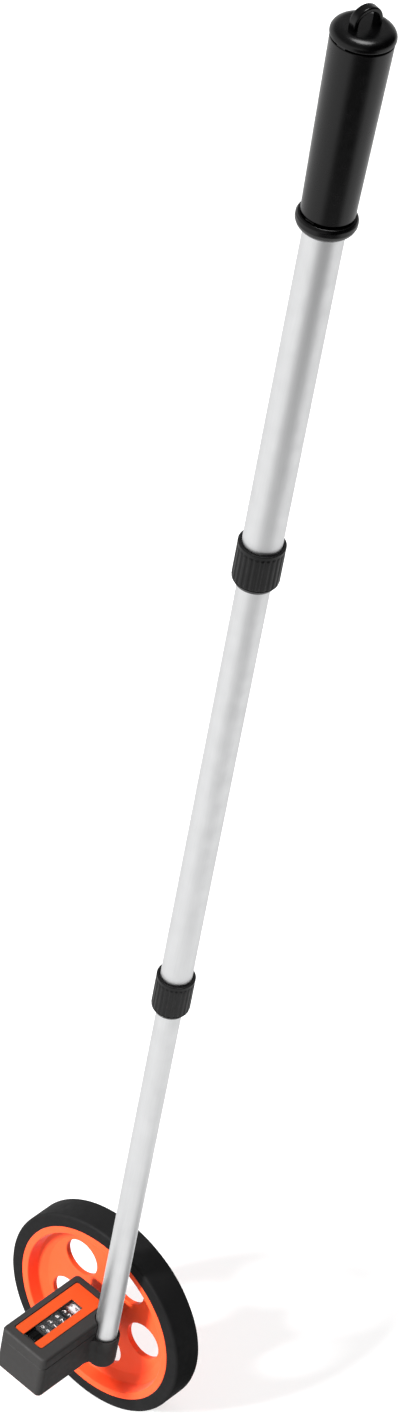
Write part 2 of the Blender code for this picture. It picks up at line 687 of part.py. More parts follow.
def window_box():
    """Window's low x, high x of the lens part, low x of the knob part, low y and high y."""
    return (BOX_X0 + WINDOW_START, KNOB_X - LENS_LEDGE - 2 * GAP, KNOB_X - 2 * GAP,
            COUNTER_Y - WINDOW_W / 2, COUNTER_Y + WINDOW_W / 2)


def build_upper_casing(root, pole, looks):
    mesh = outline_mesh([casing_loop()], SEAM, BOX_TOP)
    round_edges(mesh, lambda a, b: min(a.z, b.z) > BOX_TOP - WELD, EDGE_R, EDGE_STEPS)
    lid = add_object("upper_casing", mesh, root, looks["casing"])
    notch = solid("lid_notch_cutter", rod_profile(NOTCH_R, SEAM - OVERRUN, BOX_TOP + OVERRUN), pole)
    cavity = slab("upper_cavity_cutter", [cavity_loop()], SEAM - OVERRUN, CEILING, root)
    cut(lid, notch, cavity)
    post_r, hole_r = SCREW_R + GAP + POST_WALL, SCREW_R + GAP
    for i, place in enumerate(post_places()):
        join(lid, solid(f"lid_boss_form_{i + 1}", rod_profile(post_r, SEAM, CEILING + WALL / 2), root,
                        steps=SMALL_STEPS, at=place))
    for i, place in enumerate(post_places()):
        cut(lid, solid(f"lid_hole_cutter_{i + 1}",
                       rod_profile(hole_r, SEAM - OVERRUN, CEILING - BOSS_FLOOR), root,
                       steps=SMALL_STEPS, at=place, turn=HALF_STEP))
    recess = BOX_TOP - LABEL_RECESS
    cut(lid, slab("label_recess_cutter", [rounded_rectangle(*label_box(GAP), LABEL_CORNER_R)],
                  recess, BOX_TOP + OVERRUN, root))
    x0, x1, knob_x0, y0, y1 = window_box()
    lens_floor = recess - LENS_T - GAP
    cut(lid, block("lens_seat_cutter", (x0 - LENS_LEDGE, y0 - LENS_LEDGE, lens_floor),
                   (x1 + LENS_LEDGE / 2, y1 + LENS_LEDGE, recess + OVERRUN), root))
    cut(lid, block("lens_opening_cutter", (x0, y0, CEILING - OVERRUN), (x1, y1, recess + OVERRUN), root))
    cut(lid, block("knob_opening_cutter", (knob_x0, y0, CEILING - OVERRUN),
                   (KNOB_OPENING_END, y1, recess + OVERRUN), root))


def build_label_and_lens(root, looks):
    lx0, lx1, ly0, ly1 = label_box()
    x0, x1, knob_x0, y0, y1 = window_box()
    r = LABEL_CORNER_R
    loop = arc((lx0 + r, ly0 + r), r, pi, 1.5 * pi, CORNER_STEPS)
    loop += arc((lx1 - r, ly0 + r), r, 1.5 * pi, 2 * pi, CORNER_STEPS)
    loop += [(lx1, y0), (x0, y0), (x0, y1), (lx1, y1)]
    loop += arc((lx1 - r, ly1 - r), r, 0, 0.5 * pi, CORNER_STEPS)
    loop += arc((lx0 + r, ly1 - r), r, 0.5 * pi, pi, CORNER_STEPS)
    bottom = BOX_TOP - LABEL_RECESS + GAP
    slab("label_plate", [loop], bottom, bottom + LABEL_T, root, looks["label"])
    lens_bottom = BOX_TOP - LABEL_RECESS - LENS_T
    side = LENS_LEDGE - GAP
    end = x1 + LENS_LEDGE / 2 - GAP
    lens = [(x0 - side, y0 - side), (end, y0 - side), (end, y1 + side), (x0 - side, y1 + side)]
    slab("window_lens", [lens], lens_bottom, lens_bottom + LENS_T, root, looks["clear"])


def build_screw(name, radius, head_r, head_h, low, end, axis, place, looks):
    """A slotted screw that goes up into the part, with its head at the bottom."""
    head_top = low + head_h
    screw = solid(name, [(0, end), (radius, end), (radius, head_top), (head_r, head_top),
                         (head_r, low), (0, low)], axis, looks["steel"], SMALL_STEPS, at=place)
    reach, half = head_r + OVERRUN, SCREW_SLOT_W / 2
    slot = block(f"{name}_slot_cutter", (place[0] - reach, place[1] - half, low - OVERRUN),
                 (place[0] + reach, place[1] + half, low + SCREW_SLOT_DEPTH), axis)
    cut(screw, slot)


def build_screws(root, pole, looks):
    for i, place in enumerate(post_places()):
        build_screw(f"casing_screw_{i + 1}", SCREW_R, SCREW_HEAD_R, SCREW_HEAD_H, -BOX_BOTTOM + GAP,
                    CEILING - SCREW_END, root, place, looks)
    low = -SOCKET_BOTTOM + GAP
    build_screw("tube_screw", TUBE_SCREW_R, TUBE_SCREW_HEAD_R, TUBE_SCREW_HEAD_H, low,
                TUBE_BOTTOM + TUBE_SCREW_GRIP, pole, (0, 0), looks)


def build_counter_frame(root, axle, counter, pinion, looks):
    y0 = COUNTER_Y - FRAME_LOW_SIDE - PLATE_T
    y1 = COUNTER_Y + DRUM_R + FRAME_DRUM_ROOM
    x0 = FRAME_X0 + PLATE_T
    outer = [(FRAME_X0, y0), (FRAME_X1, y0), (FRAME_X1, y1 + PLATE_T), (FRAME_X0, y1 + PLATE_T)]
    inner = [(x0, y0 + PLATE_T), (FRAME_IN_X1, y0 + PLATE_T), (FRAME_IN_X1, y1), (x0, y1)]
    frame = slab("counter_frame", [outer, inner], FLOOR + GAP, CEILING - GAP, root, looks["zinc"])
    cut(frame, block("frame_side_cutter", (x0, y0 - OVERRUN, FRAME_RAIL_TOP),
                     (FRAME_IN_X1, y1 + PLATE_T + OVERRUN, CEILING + OVERRUN), root))
    plate = (FRAME_X0 - OVERRUN, x0 + OVERRUN)
    cut(frame, solid("frame_bush_cutter", rod_profile(BUSH_SEAT_R, *plate), axle))
    cut(frame, solid("frame_sleeve_cutter", rod_profile(SLEEVE_R + GAP, *plate), counter))
    cut(frame, solid("frame_shaft_cutter",
                     rod_profile(SHAFT_BORE_R, FRAME_IN_X1 - OVERRUN, FRAME_X1 + OVERRUN),
                     counter, steps=SMALL_STEPS))
    cut(frame, solid("frame_pinion_cutter",
                     rod_profile(PINION_SHAFT_R + GAP, FRAME_X0 - OVERRUN, FRAME_X1 + OVERRUN),
                     pinion, steps=SMALL_STEPS))
    solid("pinion_shaft", rod_profile(PINION_SHAFT_R, FRAME_X0 - GAP, FRAME_X1 + GAP), pinion,
          looks["steel"], SMALL_STEPS)


def build_counter(counter, pinion, looks):
    head_x = GEAR_X - 2 * GAP - SHAFT_HEAD_T
    shaft_end = KNOB_X + KNOB_W + 2 * GAP
    solid("counter_shaft", [
        (0, shaft_end), (COUNTER_SHAFT_R, shaft_end), (COUNTER_SHAFT_R, head_x + SHAFT_HEAD_T),
        (SHAFT_HEAD_R, head_x + SHAFT_HEAD_T), (SHAFT_HEAD_R, head_x), (0, head_x)],
        counter, looks["steel"], SMALL_STEPS)

    gap_angle = on_x_axis(-COUNTER_Y, -COUNTER_Z)
    gear = slab("counter_gear", [gear_loop(COUNTER_TEETH, MODULE, gap_angle + pi / COUNTER_TEETH),
                                 circle((SHAFT_BORE_R + SLEEVE_R) / 2, SMALL_STEPS)],
                GEAR_X, GEAR_X + GEAR_W, counter, looks["nylon"])
    join(gear, ring("gear_sleeve_form", sleeve_profile(SLEEVE_R, SHAFT_BORE_R, GEAR_X - GAP, DRUM_X - GAP),
                    counter, steps=SMALL_STEPS))

    root_r = CARRY_MODULE * (RING_TEETH / 2 - DEDENDUM)
    carry_r = PINION_DISTANCE - CARRY_MODULE * (PINION_TEETH / 2 + ADDENDUM) - GAP
    to_pinion = on_x_axis(cos(PINION_TURN), sin(PINION_TURN))
    from_pinion = on_x_axis(-cos(PINION_TURN), -sin(PINION_TURN))
    for i in range(DRUM_COUNT):
        x = DRUM_X + i * DRUM_PITCH
        band0, band1, end = x + RING_W, x + DRUM_W - CARRY_W, x + DRUM_W
        drum = ring(f"digit_drum_{i + 1}", [
            (carry_r, end), (carry_r, band1), (DRUM_R, band1), (DRUM_R, band0), (root_r - GAP, band0),
            (root_r - GAP, x), (SHAFT_BORE_R, x), (SHAFT_BORE_R, end)], counter,
            looks["white"] if i == 0 else looks["black"], DRUM_STEPS)
        if i == 0:
            continue
        teeth = gear_loop(RING_TEETH, CARRY_MODULE, to_pinion + pi / RING_TEETH)
        join(drum, slab(f"ring_teeth_form_{i + 1}", [teeth, circle(root_r / 2, SMALL_STEPS)],
                        x + GAP / 2, band0 + GAP, counter))
        slab(f"carry_pinion_{i}", [gear_loop(PINION_TEETH, CARRY_MODULE, from_pinion),
                                   circle(PINION_SHAFT_R + GAP, SMALL_STEPS)],
             x - CARRY_W, band0 - GAP, pinion, looks["nylon"])

    knob = []
    for i in range(2 * KNOB_RIBS):
        radius = KNOB_R if i % 2 else KNOB_R - KNOB_RIB_DEPTH
        angle = pi * (i + 0.5) / KNOB_RIBS
        knob.append((radius * cos(angle), radius * sin(angle)))
    slab("reset_wheel", [knob, circle(SHAFT_BORE_R, SMALL_STEPS)], KNOB_X, KNOB_X + KNOB_W, counter,
         looks["gloss"])


def build_tubes(pole, looks):
    tubes = [("bottom_tube", BOTTOM_TUBE_R, TUBE_BOTTOM, BOTTOM_TUBE_TOP),
             ("middle_tube", MIDDLE_TUBE_R, MIDDLE_TUBE_BOTTOM, MIDDLE_TUBE_TOP),
             ("top_tube", TOP_TUBE_R, TOP_TUBE_BOTTOM, GRIP_TOP - GAP)]
    for name, radius, low, high in tubes:
        ring(name, sleeve_profile(radius, radius - TUBE_WALL, low, high), pole, looks["tube"])
    guides = [("bottom_tube_guide", BOTTOM_TUBE_R, MIDDLE_TUBE_R, BOTTOM_TUBE_TOP),
              ("middle_tube_guide", MIDDLE_TUBE_R, TOP_TUBE_R, MIDDLE_TUBE_TOP)]
    for name, tube_r, outer_tube_r, top in guides:
        head_r = outer_tube_r - TUBE_WALL - GAP
        spigot_r = tube_r - TUBE_WALL - GAP
        bore_r = spigot_r - GUIDE_WALL
        shoulder = top + GAP
        ring(name, [
            (head_r, shoulder + GUIDE_HEAD_H), (head_r, shoulder), (spigot_r, shoulder),
            (spigot_r, shoulder - GUIDE_SPIGOT_L), (bore_r, shoulder - GUIDE_SPIGOT_L),
            (bore_r, shoulder + GUIDE_HEAD_H)], pole, looks["nylon"], TUBE_STEPS)
    ring("tube_plug", sleeve_profile(BOTTOM_TUBE_R - TUBE_WALL - GAP, TUBE_SCREW_R + GAP, TUBE_BOTTOM,
                                     TUBE_BOTTOM + PLUG_H), pole, looks["nylon"], SMALL_STEPS)


def flute(mesh, low, high, inner_r, ribs):
    """Draw every other line of points in between the two heights, so that ribs stand out."""
    for vert in mesh.vertices:
        radius = hypot(vert.co.x, vert.co.y)
        index = round(atan2(vert.co.y, vert.co.x) * ribs / pi)
        if index % 2 and low < vert.co.z < high and radius > inner_r:
            share = (radius - RIB_DEPTH) / radius
            vert.co.x *= share
            vert.co.y *= share


def build_twist_lock(prefix, tube_r, inner_tube_r, tube_bottom, pole, looks):
    """A ribbed collar on the outer tube's end, round a split collet that grips the inner tube."""
    bore_r = tube_r + GAP
    outer_r = bore_r + COLLAR_WALL
    low = tube_bottom - COLLAR_BELOW_TUBE
    high = low + COLLAR_H
    mouth_r = inner_tube_r + COLLAR_MOUTH_GAP
    rib_low, rib_high = low + COLLAR_CHAMFER_H, high - COLLAR_RIM_H
    lip, cone_top = low + COLLAR_LIP_H, tube_bottom - GAP
    mesh = turned_mesh([
        (bore_r + COLLAR_RIM_LIP, high), (outer_r, high), (outer_r, rib_high + GAP), (outer_r, rib_high),
        (outer_r, rib_low), (outer_r, rib_low - GAP), (outer_r - COLLAR_CHAMFER, low), (mouth_r, low),
        (mouth_r, lip), (bore_r, cone_top), (bore_r, high - COLLAR_RIM_H)], 2 * COLLAR_RIBS, True)
    flute(mesh, rib_low - GAP / 2, rib_high + GAP / 2, bore_r + COLLAR_WALL / 2, COLLAR_RIBS)
    add_object(f"{prefix}_collar", mesh, pole, looks["casing"])

    inner_r = inner_tube_r + GAP
    collet_low = cone_top - COLLET_H
    slope = (bore_r - mouth_r) / (cone_top - lip)
    top_r = bore_r - GAP - slope * GAP
    low_r = top_r - slope * COLLET_H
    low_r = max(low_r, inner_r + GAP)
    collet = ring(f"{prefix}_collet", [
        (top_r, cone_top), (low_r, collet_low), (inner_r, collet_low), (inner_r, cone_top)],
        pole, looks["nylon"])
    cut(collet, block(f"{prefix}_slit_cutter", (0, -COLLET_SLIT / 2, collet_low - OVERRUN),
                      (outer_r, COLLET_SLIT / 2, cone_top + OVERRUN), pole))


def groove_key(name, inner_r, outer_r, low, high, side, pole):
    """One of the keys that bridge a groove of the grip."""
    return block(name, (min(side * inner_r, side * outer_r), -KEY_W / 2, low),
                 (max(side * inner_r, side * outer_r), KEY_W / 2, high), pole)


def build_grip(pole, looks):
    low, high = GRIP_BOTTOM + GROOVE_W, GRIP_TOP - GROOVE_W
    low_neck, high_neck = GRIP_LOW_R - GROOVE_DEPTH, GRIP_TOP_R - GROOVE_DEPTH
    ring("grip_sleeve", [
        (high_neck, GRIP_TOP - GAP), (high_neck, high), (GRIP_TOP_R, high), (GRIP_LOW_R, low),
        (low_neck, low), (low_neck, GRIP_BOTTOM + GAP), (GRIP_BORE_R, GRIP_BOTTOM + GAP),
        (GRIP_BORE_R, GRIP_TOP - GAP)], pole, looks["grip"], GRIP_STEPS)

    foot, rim = GRIP_FLANGE_BOTTOM, GRIP_BOTTOM
    bulge = GRIP_FLANGE_R - GRIP_FLANGE_LOW_R
    outside = [(GRIP_FLANGE_LOW_R + bulge * out, foot + GRIP_FLANGE_H * up) for out, up in FLANGE_SHARES]
    flange = ring("grip_flange", outside + [(GRIP_BORE_R, foot), (GRIP_BORE_R, rim)],
                  pole, looks["grip"], GRIP_STEPS)
    for side, word in ((1, "front"), (-1, "back")):
        join(flange, groove_key(f"flange_key_{word}_form", low_neck + GAP, GRIP_LOW_R, rim - GAP, low - GAP,
                                side, pole))

    base, top = GRIP_TOP, GRIP_TOP + CAP_H
    spigot_r, spigot_end = TOP_TUBE_R - TUBE_WALL - GAP, base - SPIGOT_L
    outside = [(CAP_FLAT_R + CAP_SHOULDER * out, base + CAP_H * up) for out, up in CAP_SHARES]
    cap = solid("grip_cap", [(0, top)] + outside + [(spigot_r, base), (spigot_r, spigot_end), (0, spigot_end)],
                pole, looks["grip"], GRIP_STEPS)
    for side, word in ((1, "front"), (-1, "back")):
        join(cap, groove_key(f"cap_key_{word}_form", high_neck + GAP, GRIP_TOP_R, high + GAP, base + GAP,
                             side, pole))
    join(cap, loop_form(top, pole))


def loop_form(cap_top, pole):
    """The hang loop: a half ring on two short legs, standing across the cap."""
    inner_r = LOOP_R - LOOP_T
    centre = LOOP_H - LOOP_R
    root = -LOOP_ROOT
    loop = [(LOOP_R, root)] + arc((0, centre), LOOP_R, 0, pi, ARCH_STEPS) + [(-LOOP_R, root)]
    loop += [(-inner_r, root)] + arc((0, centre), inner_r, pi, 0, ARCH_STEPS) + [(inner_r, root)]
    mesh = outline_mesh([loop], -LOOP_W / 2, LOOP_W / 2)
    face = LOOP_W / 2 - WELD
    round_edges(mesh, lambda a, b: min(abs(a.z), abs(b.z)) > face and a.z * b.z > 0, LOOP_EDGE, 1)
    obj = add_object("hang_loop_form", mesh, pole)
    obj.location = (0, 0, cap_top)
    obj.rotation_euler = (pi / 2, 0, LOOP_TURN)
    return obj


def build_looks():
    return {
        "rubber": new_material("tyre_rubber", (0.035, 0.035, 0.036), 0.7),
        "orange": new_material("wheel_orange", (0.87, 0.12, 0.03), 0.35),
        "label": new_material("label_orange", (0.85, 0.10, 0.015), 0.4),
        "casing": new_material("casing_grey", (0.055, 0.052, 0.05), 0.5),
        "gloss": new_material("gloss_black", (0.01, 0.01, 0.01), 0.15),
        "grip": new_material("grip_black", (0.012, 0.012, 0.013), 0.4),
        "tube": new_material("tube_aluminium", (0.8, 0.8, 0.81), 0.3, 1.0),
        "steel": new_material("steel", (0.6, 0.6, 0.61), 0.3, 1.0),
        "zinc": new_material("zinc_plate", (0.5, 0.51, 0.52), 0.4, 1.0),
        "bronze": new_material("bush_bronze", (0.55, 0.35, 0.15), 0.4, 1.0),
        "nylon": new_material("nylon", (0.75, 0.73, 0.68), 0.45),
        "white": new_material("drum_white", (0.8, 0.8, 0.8), 0.4),
        "black": new_material("drum_black", (0.03, 0.03, 0.03), 0.4),
        "clear": new_material("clear_window", (0.8, 0.82, 0.85), 0.05),
    }


def main():
    looks = build_looks()
    root = add_axis("axle_centre", location=(AXLE_CENTRE_X, 0, WHEEL_R))
    axle = add_axis("wheel_axis", root, along_x=True)
    counter = add_axis("counter_axis", root, (0, COUNTER_Y, COUNTER_Z), along_x=True)
    pinion = add_axis("pinion_axis", root, (0, PINION_Y, PINION_Z), along_x=True)
    pole = add_axis("pole_axis", root, (POLE_X, POLE_Y, 0))
    build_wheel(axle, looks)
    build_axle(axle, looks)
    build_bushes(axle, looks)
    build_lower_casing(root, pole, axle, looks)
    build_upper_casing(root, pole, looks)
    build_label_and_lens(root, looks)
    build_screws(root, pole, looks)
    build_counter_frame(root, axle, counter, pinion, looks)
    build_counter(counter, pinion, looks)
    build_tubes(pole, looks)
    build_twist_lock("lower", MIDDLE_TUBE_R, BOTTOM_TUBE_R, MIDDLE_TUBE_BOTTOM, pole, looks)
    build_twist_lock("upper", TOP_TUBE_R, MIDDLE_TUBE_R, TOP_TUBE_BOTTOM, pole, looks)
    build_grip(pole, looks)


clear_scene()
PART = new_collection("measuring_wheel")
CUTTERS = new_collection("cutters")
main()
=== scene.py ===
"""The looks of the measuring wheel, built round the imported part.

Sizes are in millimetres from the centre of the axle, and places come from the frame where it has them.
"""

import json
from math import atan2, cos, pi, radians, sin, sqrt, tan

import bmesh
import bpy
from mathutils import Matrix, Vector


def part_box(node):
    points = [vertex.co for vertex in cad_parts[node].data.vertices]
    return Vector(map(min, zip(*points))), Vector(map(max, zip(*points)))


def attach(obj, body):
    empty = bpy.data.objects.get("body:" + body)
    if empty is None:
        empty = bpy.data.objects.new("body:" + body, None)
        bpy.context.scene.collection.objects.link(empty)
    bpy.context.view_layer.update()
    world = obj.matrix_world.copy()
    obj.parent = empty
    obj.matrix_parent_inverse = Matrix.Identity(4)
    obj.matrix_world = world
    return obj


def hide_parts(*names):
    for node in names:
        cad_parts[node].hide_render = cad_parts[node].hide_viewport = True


MM = 0.001
X, Y, Z = 0, 1, 2
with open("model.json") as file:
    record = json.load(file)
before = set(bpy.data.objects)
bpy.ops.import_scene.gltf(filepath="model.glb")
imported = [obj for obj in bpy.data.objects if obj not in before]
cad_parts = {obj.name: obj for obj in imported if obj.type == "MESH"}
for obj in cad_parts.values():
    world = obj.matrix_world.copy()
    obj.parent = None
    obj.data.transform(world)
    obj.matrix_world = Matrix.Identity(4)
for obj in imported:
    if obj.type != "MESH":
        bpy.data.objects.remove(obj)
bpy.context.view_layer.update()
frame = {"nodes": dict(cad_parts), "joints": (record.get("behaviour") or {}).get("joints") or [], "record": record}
nodes = frame["nodes"]
joint_at = {joint["name"]: Vector(joint["pos_m"]) for joint in frame["joints"] if "pos_m" in joint}
AXLE = joint_at["wheel_spin"]
COUNTER = joint_at["drum_1_spin"]
POLE = Vector((joint_at["upper_twist"].x, joint_at["upper_twist"].y, AXLE.z))


def span(node, axis, origin=AXLE):
    """A node's low and high end along an axis, in mm from an origin."""
    low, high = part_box(node)
    return (low[axis] - origin[axis]) / MM, (high[axis] - origin[axis]) / MM


# Clearances and edges
GAP = 0.3
WELD = 0.002
FINE_EDGE = 0.25
OVERRUN = 1.0
# Share of an outline's side that the arc at one of its ends may take up
CORNER_SHARE = 0.49

# Steps round turned pieces
WHEEL_STEPS, BODY_STEPS, TUBE_STEPS, HOLE_STEPS, SMALL_STEPS = 160, 96, 72, 56, 48
AXLE_STEPS, POST_STEPS, SCREW_STEPS, STEPS_PER_RIB = 40, 32, 30, 10
# Steps round the corners of outlines, by how large they show, and along longer arcs
TINY, SMALL, SOFT, PLAIN, WIDE, BOX_CORNER = 3, 4, 5, 6, 8, 10
SHOULDER_STEPS, FILLET_STEPS, KEEP_OUT_STEPS, LOOP_STEPS = 12, 16, 24, 24
BEVEL_SEGMENTS = 2
# Angles in degrees from which an edge is shaded sharp
SHARP, SHARP_CUT, SHARP_CASE, SHARP_NUT, SHARP_RIBS = 32, 30, 28, 25, 40

# Wheel
TYRE_HALF_W, TYRE_R, TYRE_INNER_R, TYRE_EDGE_R = 11.65, 79.577, 69.6, 2.2
BEAD_R, BEAD_HALF_W = 68.1, 3.7
RIM_R, RIM_FACE, RIM_LIP_R, RIM_FOOT_R, RIM_FOOT_H = 69.3, 11.5, 64.0, 62.2, 2.5
WEB_FRONT, WEB_BACK, WEB_EDGE_R = -0.35, -4.65, 55.0
LIP_EDGE, RIM_FOOT_EDGE, WEB_EDGE = 0.9, 2.0, 3.0
HUB_R, HUB_BACK, AXLE_BORE_R = 11.0, -5.5, 3.3
HUB_EDGE, HUB_FOOT_EDGE, HUB_BACK_EDGE, HUB_BACK_FOOT_EDGE = 0.8, 1.2, 0.4, 0.2
WEB_HOLES, WEB_HOLE_R, WEB_HOLE_CIRCLE_R, WEB_HOLE_TURN = 5, 14.5, 38.0, radians(-7.5)
WEB_HOLE_EDGE, WEB_HOLE_EDGE_STEPS = 0.6, 4

# Axle
AXLE_R, AXLE_EDGE, CLIP_GROOVE_DEPTH, CLIP_GROOVE_ROOM = 3.0, 0.5, 0.6, 0.15
WASHER_R, WASHER_BORE_R = 6.5, 3.2
NUT_FLATS, NUT_BORE_R, NUT_CHAMFER = 10.0, 3.15, 0.9

# Pole
LOW_TUBE_R, MID_TUBE_R, HIGH_TUBE_R, TUBE_WALL = 8.5, 10.5, 12.5, 1.0
TUBES = {"bottom_tube": ("tube_low", LOW_TUBE_R, "lower_section"),
         "middle_tube": ("tube_mid", MID_TUBE_R, "middle_section"),
         "top_tube": ("tube_high", HIGH_TUBE_R, "handle")}
COLLARS = {"lower_collar": ("low_lock_nut", MID_TUBE_R, LOW_TUBE_R, "lower_lock"),
           "upper_collar": ("high_lock_nut", HIGH_TUBE_R, MID_TUBE_R, "upper_lock")}
COLLAR_WALL, COLLAR_MOUTH_GAP, COLLAR_MOUTH_H, COLLAR_CONE_H = 2.1, 0.6, 1.2, 7.2
COLLAR_RIM_H, COLLAR_RIM_LIP, COLLAR_RIM_EDGES = 3.5, 0.35, (0.6, 0.2)
COLLAR_STEP_TOP, COLLAR_STEP_FOOT = 0.9, 0.5
COLLAR_FOOT_H, COLLAR_FOOT_TAPER, COLLAR_FOOT_EDGES = 3.5, 2.2, (0.3, 0.5, 0.2)
SHOULDER_RISE, SHOULDER_IN, SHOULDER_DROP = 0.1, 0.2, 0.3
COLLAR_RIBS, RIB_DEPTH, RIB_VALLEY, RIB_STEEPNESS = 24, 0.55, 0.12, 2.2
# Heights along the ribs from their upper and lower end, each with its share of the ribs' depth
RIB_TOP_LEVELS = ((0.2, 0.25), (-0.4, 0.75), (-1.2, 1.0))
RIB_FOOT_LEVELS = ((1.2, 1.0), (0.5, 0.6))

# Grip
GRIP_LOW_R, GRIP_TOP_R, GRIP_BORE_R, GRIP_EDGE = 16.0, 18.5, 12.8, 0.9
GROOVE_W, GROOVE_DEPTH, KEY_W, KEY_INSET = 1.3, 1.6, 6.0, 0.1
FLANGE_R, FLANGE_FOOT_R, FLANGE_BULGE = 18.3, 14.8, 1.1
FLANGE_DROPS, FLANGE_EDGES = (0.19, 0.5, 0.76), (1.2, 1.5, 2.5, 3.0, 0.5)
CAP_R, CAP_H, CAP_FLAT_R, CAP_EDGE_R, CAP_SHOULDER_H = 19.0, 6.5, 12.5, 0.6, 5.2
CAP_SPIGOT_R, CAP_SPIGOT_L = 11.2, 18.0
LOOP_R, LOOP_H, LOOP_T, LOOP_W, LOOP_TURN = 9.7, 13.0, 3.2, 6.0, radians(-14)
LOOP_ROOT, LOOP_EDGE_R = 2.0, 1.1

# Counter box
WALL, LID_TOP, CORNER_R, LID_EDGE_R, BASE_EDGE_R = 2.0, 2.8, 4.0, 2.0, 2.8
BOX_X0, BOX_X1 = span("upper_casing", X)
BOX_Y0, BOX_Y1 = span("upper_casing", Y)
SEAM, BOX_TOP = span("upper_casing", Z)
BOX_BOTTOM = span("casing_screw_1", Z)[0] - GAP
SEAM_EDGE = 0.35
POLE_X, POLE_Y = (POLE.x - AXLE.x) / MM, (POLE.y - AXLE.y) / MM
SOCKET_R, SOCKET_MOUTH, SOCKET_EDGE_R, SOCKET_MOUTH_EDGE_R = 10.5, 10.0, 3.2, 0.7
SOCKET_FOOT, SOCKET_FLOOR = span("lower_casing", Z)[0], 3.2
SOCKET_FILLET_R, SOCKET_FILLET_DROP = 5.0, 0.15
SOCKET_BORE_R, SOCKET_MOUTH_FLARE = 8.8, 1.1
NOTCH_R = 9.3
KEEP_OUT_R, KEEP_OUT_TURN = NOTCH_R + WALL, radians(30)
SCREW_COUNT, SCREW_HOLE_R, SCREW_SEAT_R, SCREW_SEAT_H = 4, 1.5, 2.8, 2.5
POST_R, POST_TOP = 2.6, 0.8
TUBE_SCREW_HOLE_R, TUBE_SCREW_SEAT_R, TUBE_SCREW_SEAT_H = 1.8, 3.3, 1.9
BUSH_SEAT_R, BUSH_BOSS_R, BUSH_BOSS_L = 5.3, 7.5, 3.3

# Label and window
LABEL_X0, LABEL_X1 = span("label_plate", X)
LABEL_Y0, LABEL_Y1 = span("label_plate", Y)
LABEL_RECESS, LABEL_CORNER_R, LABEL_SHRINK, LABEL_BEVEL = 0.9, 1.6, 0.4, 0.15
SLOT_CORNER_R, SLOT_END_R = 0.4, 0.3
LENS_LEDGE, LENS_T, LENS_BEVEL = 1.1, 0.9, 0.12
LENS_X0, LENS_X1 = span("window_lens", X)
LENS_Y0, LENS_Y1 = span("window_lens", Y)
WINDOW_X0, WINDOW_X1 = LENS_X0 + LENS_LEDGE - GAP, LENS_X1 - LENS_LEDGE / 2 + GAP
WINDOW_Y0, WINDOW_Y1 = LENS_Y0 + LENS_LEDGE - GAP, LENS_Y1 - LENS_LEDGE + GAP
KNOB_OPENING_INSET = 1.6
KNOB_X0, KNOB_X1 = WINDOW_X1 + LENS_LEDGE, LABEL_X1 - KNOB_OPENING_INSET

# Counter
DRUM_R, DRUM_RING_W, DRUM_BAND_W = 9.2, 1.1, 5.0
DIGITS, DIGIT_H, DIGIT_WIDTH_SHARE, DIGIT_PROUD = 10, 3.4, 1.0, 0.05
DIGIT_CURVE_STEPS, DIGIT_BANDS, BAND_TOLERANCE = 3, 8, 1e-6
DRUM_READINGS = (4.35, 2.5, 7.5, 1.5, 9.5)
KNOB_R, KNOB_BORE_R, KNOB_EDGE_R = 10.4, 1.8, 0.9
KNOB_RIBS, KNOB_RIB_DEPTH, KNOB_RIB_STEEPNESS = 24, 0.5, 1.6

# Materials: scales of the noise per metre, depths in millimetres
MOTTLE_SCALE, SHEEN_SCALE, GRAIN_STRENGTH = 60, 180, 0.35
METAL_SHEEN_SCALE, LINE_STRENGTH, LINE_DEPTH = 90, 0.3, 0.004
CLEAR_ROUGH, CLEAR_IOR, CLEAR_TINT_SCALE = 0.03, 1.49, 40
CLEAR_WAVE_SCALE, CLEAR_WAVE_STRENGTH, CLEAR_WAVE_DEPTH = 60, 0.05, 0.05

# Floor, in metres
FLOOR_HALF, FLOOR_DROP, FLOOR_ROUGH = 30.0, 0.0005, 0.9
FLOOR_BASE, FLOOR_GLOW = 0.70, 0.30
# Painted reflections that gloss sees in the floor: a painted highlight that swings round the pole, a painted dim
# far side, and a painted shadow round the wheel's foot
PAINTED_SHEEN_MEAN, PAINTED_SHEEN_SWING, PAINTED_SHEEN_TURN = 0.95, 0.05, radians(5)
# Painted dark reflection: how dim the floor looks in gloss on its far side, and where that side lies
PAINTED_DIM_LEVEL, PAINTED_DIM_TURN, PAINTED_DIM_SIDE, PAINTED_DIM_END = 0.05, radians(55), (0.62, 0.95), (1.12, 1.38)
# Painted shadow round the wheel's foot, seen only in gloss: its centre and its soft edge
PAINTED_FOOT_SHADOW_AT, PAINTED_FOOT_SHADOW_END = (-0.12, 0.135), (0.05, 0.11)

# Sky and lamps
SKY_LOW, SKY_HIGH, SKY_BAND = 0.95, 0.25, (0.05, 0.50)
SKY_DARK, SKY_DARK_TURN, SKY_DARK_SIDE = 0.05, radians(115), (0.05, 0.60)
KEY_TURN, KEY_RISE, KEY_SOFT, KEY_STRENGTH = radians(-18), radians(30), radians(10), 6.5
TOP_TURN, TOP_RISE, TOP_SOFT, TOP_STRENGTH = radians(200), radians(86), radians(30), 2.2
# First words of the names of the pieces that the key lamp leaves out
UNLIT = ("tube", "low", "high", "grip")

# Camera
CAMERA_AT = Vector((1825.93, 1281.76, 2526.22))
CAMERA_RIGHT = Vector((-0.671079, 0.727571, 0.142459))
CAMERA_UP = Vector((-0.417985, -0.529998, 0.737828))
CAMERA_BACK = Vector((0.612325, 0.435595, 0.659784))
SENSOR_H, LENS = 36, 121.04


# Outlines

def sweep(turn, steps):
    """Angles from nothing to a turn, both ends included."""
    return [turn * k / steps for k in range(steps + 1)]


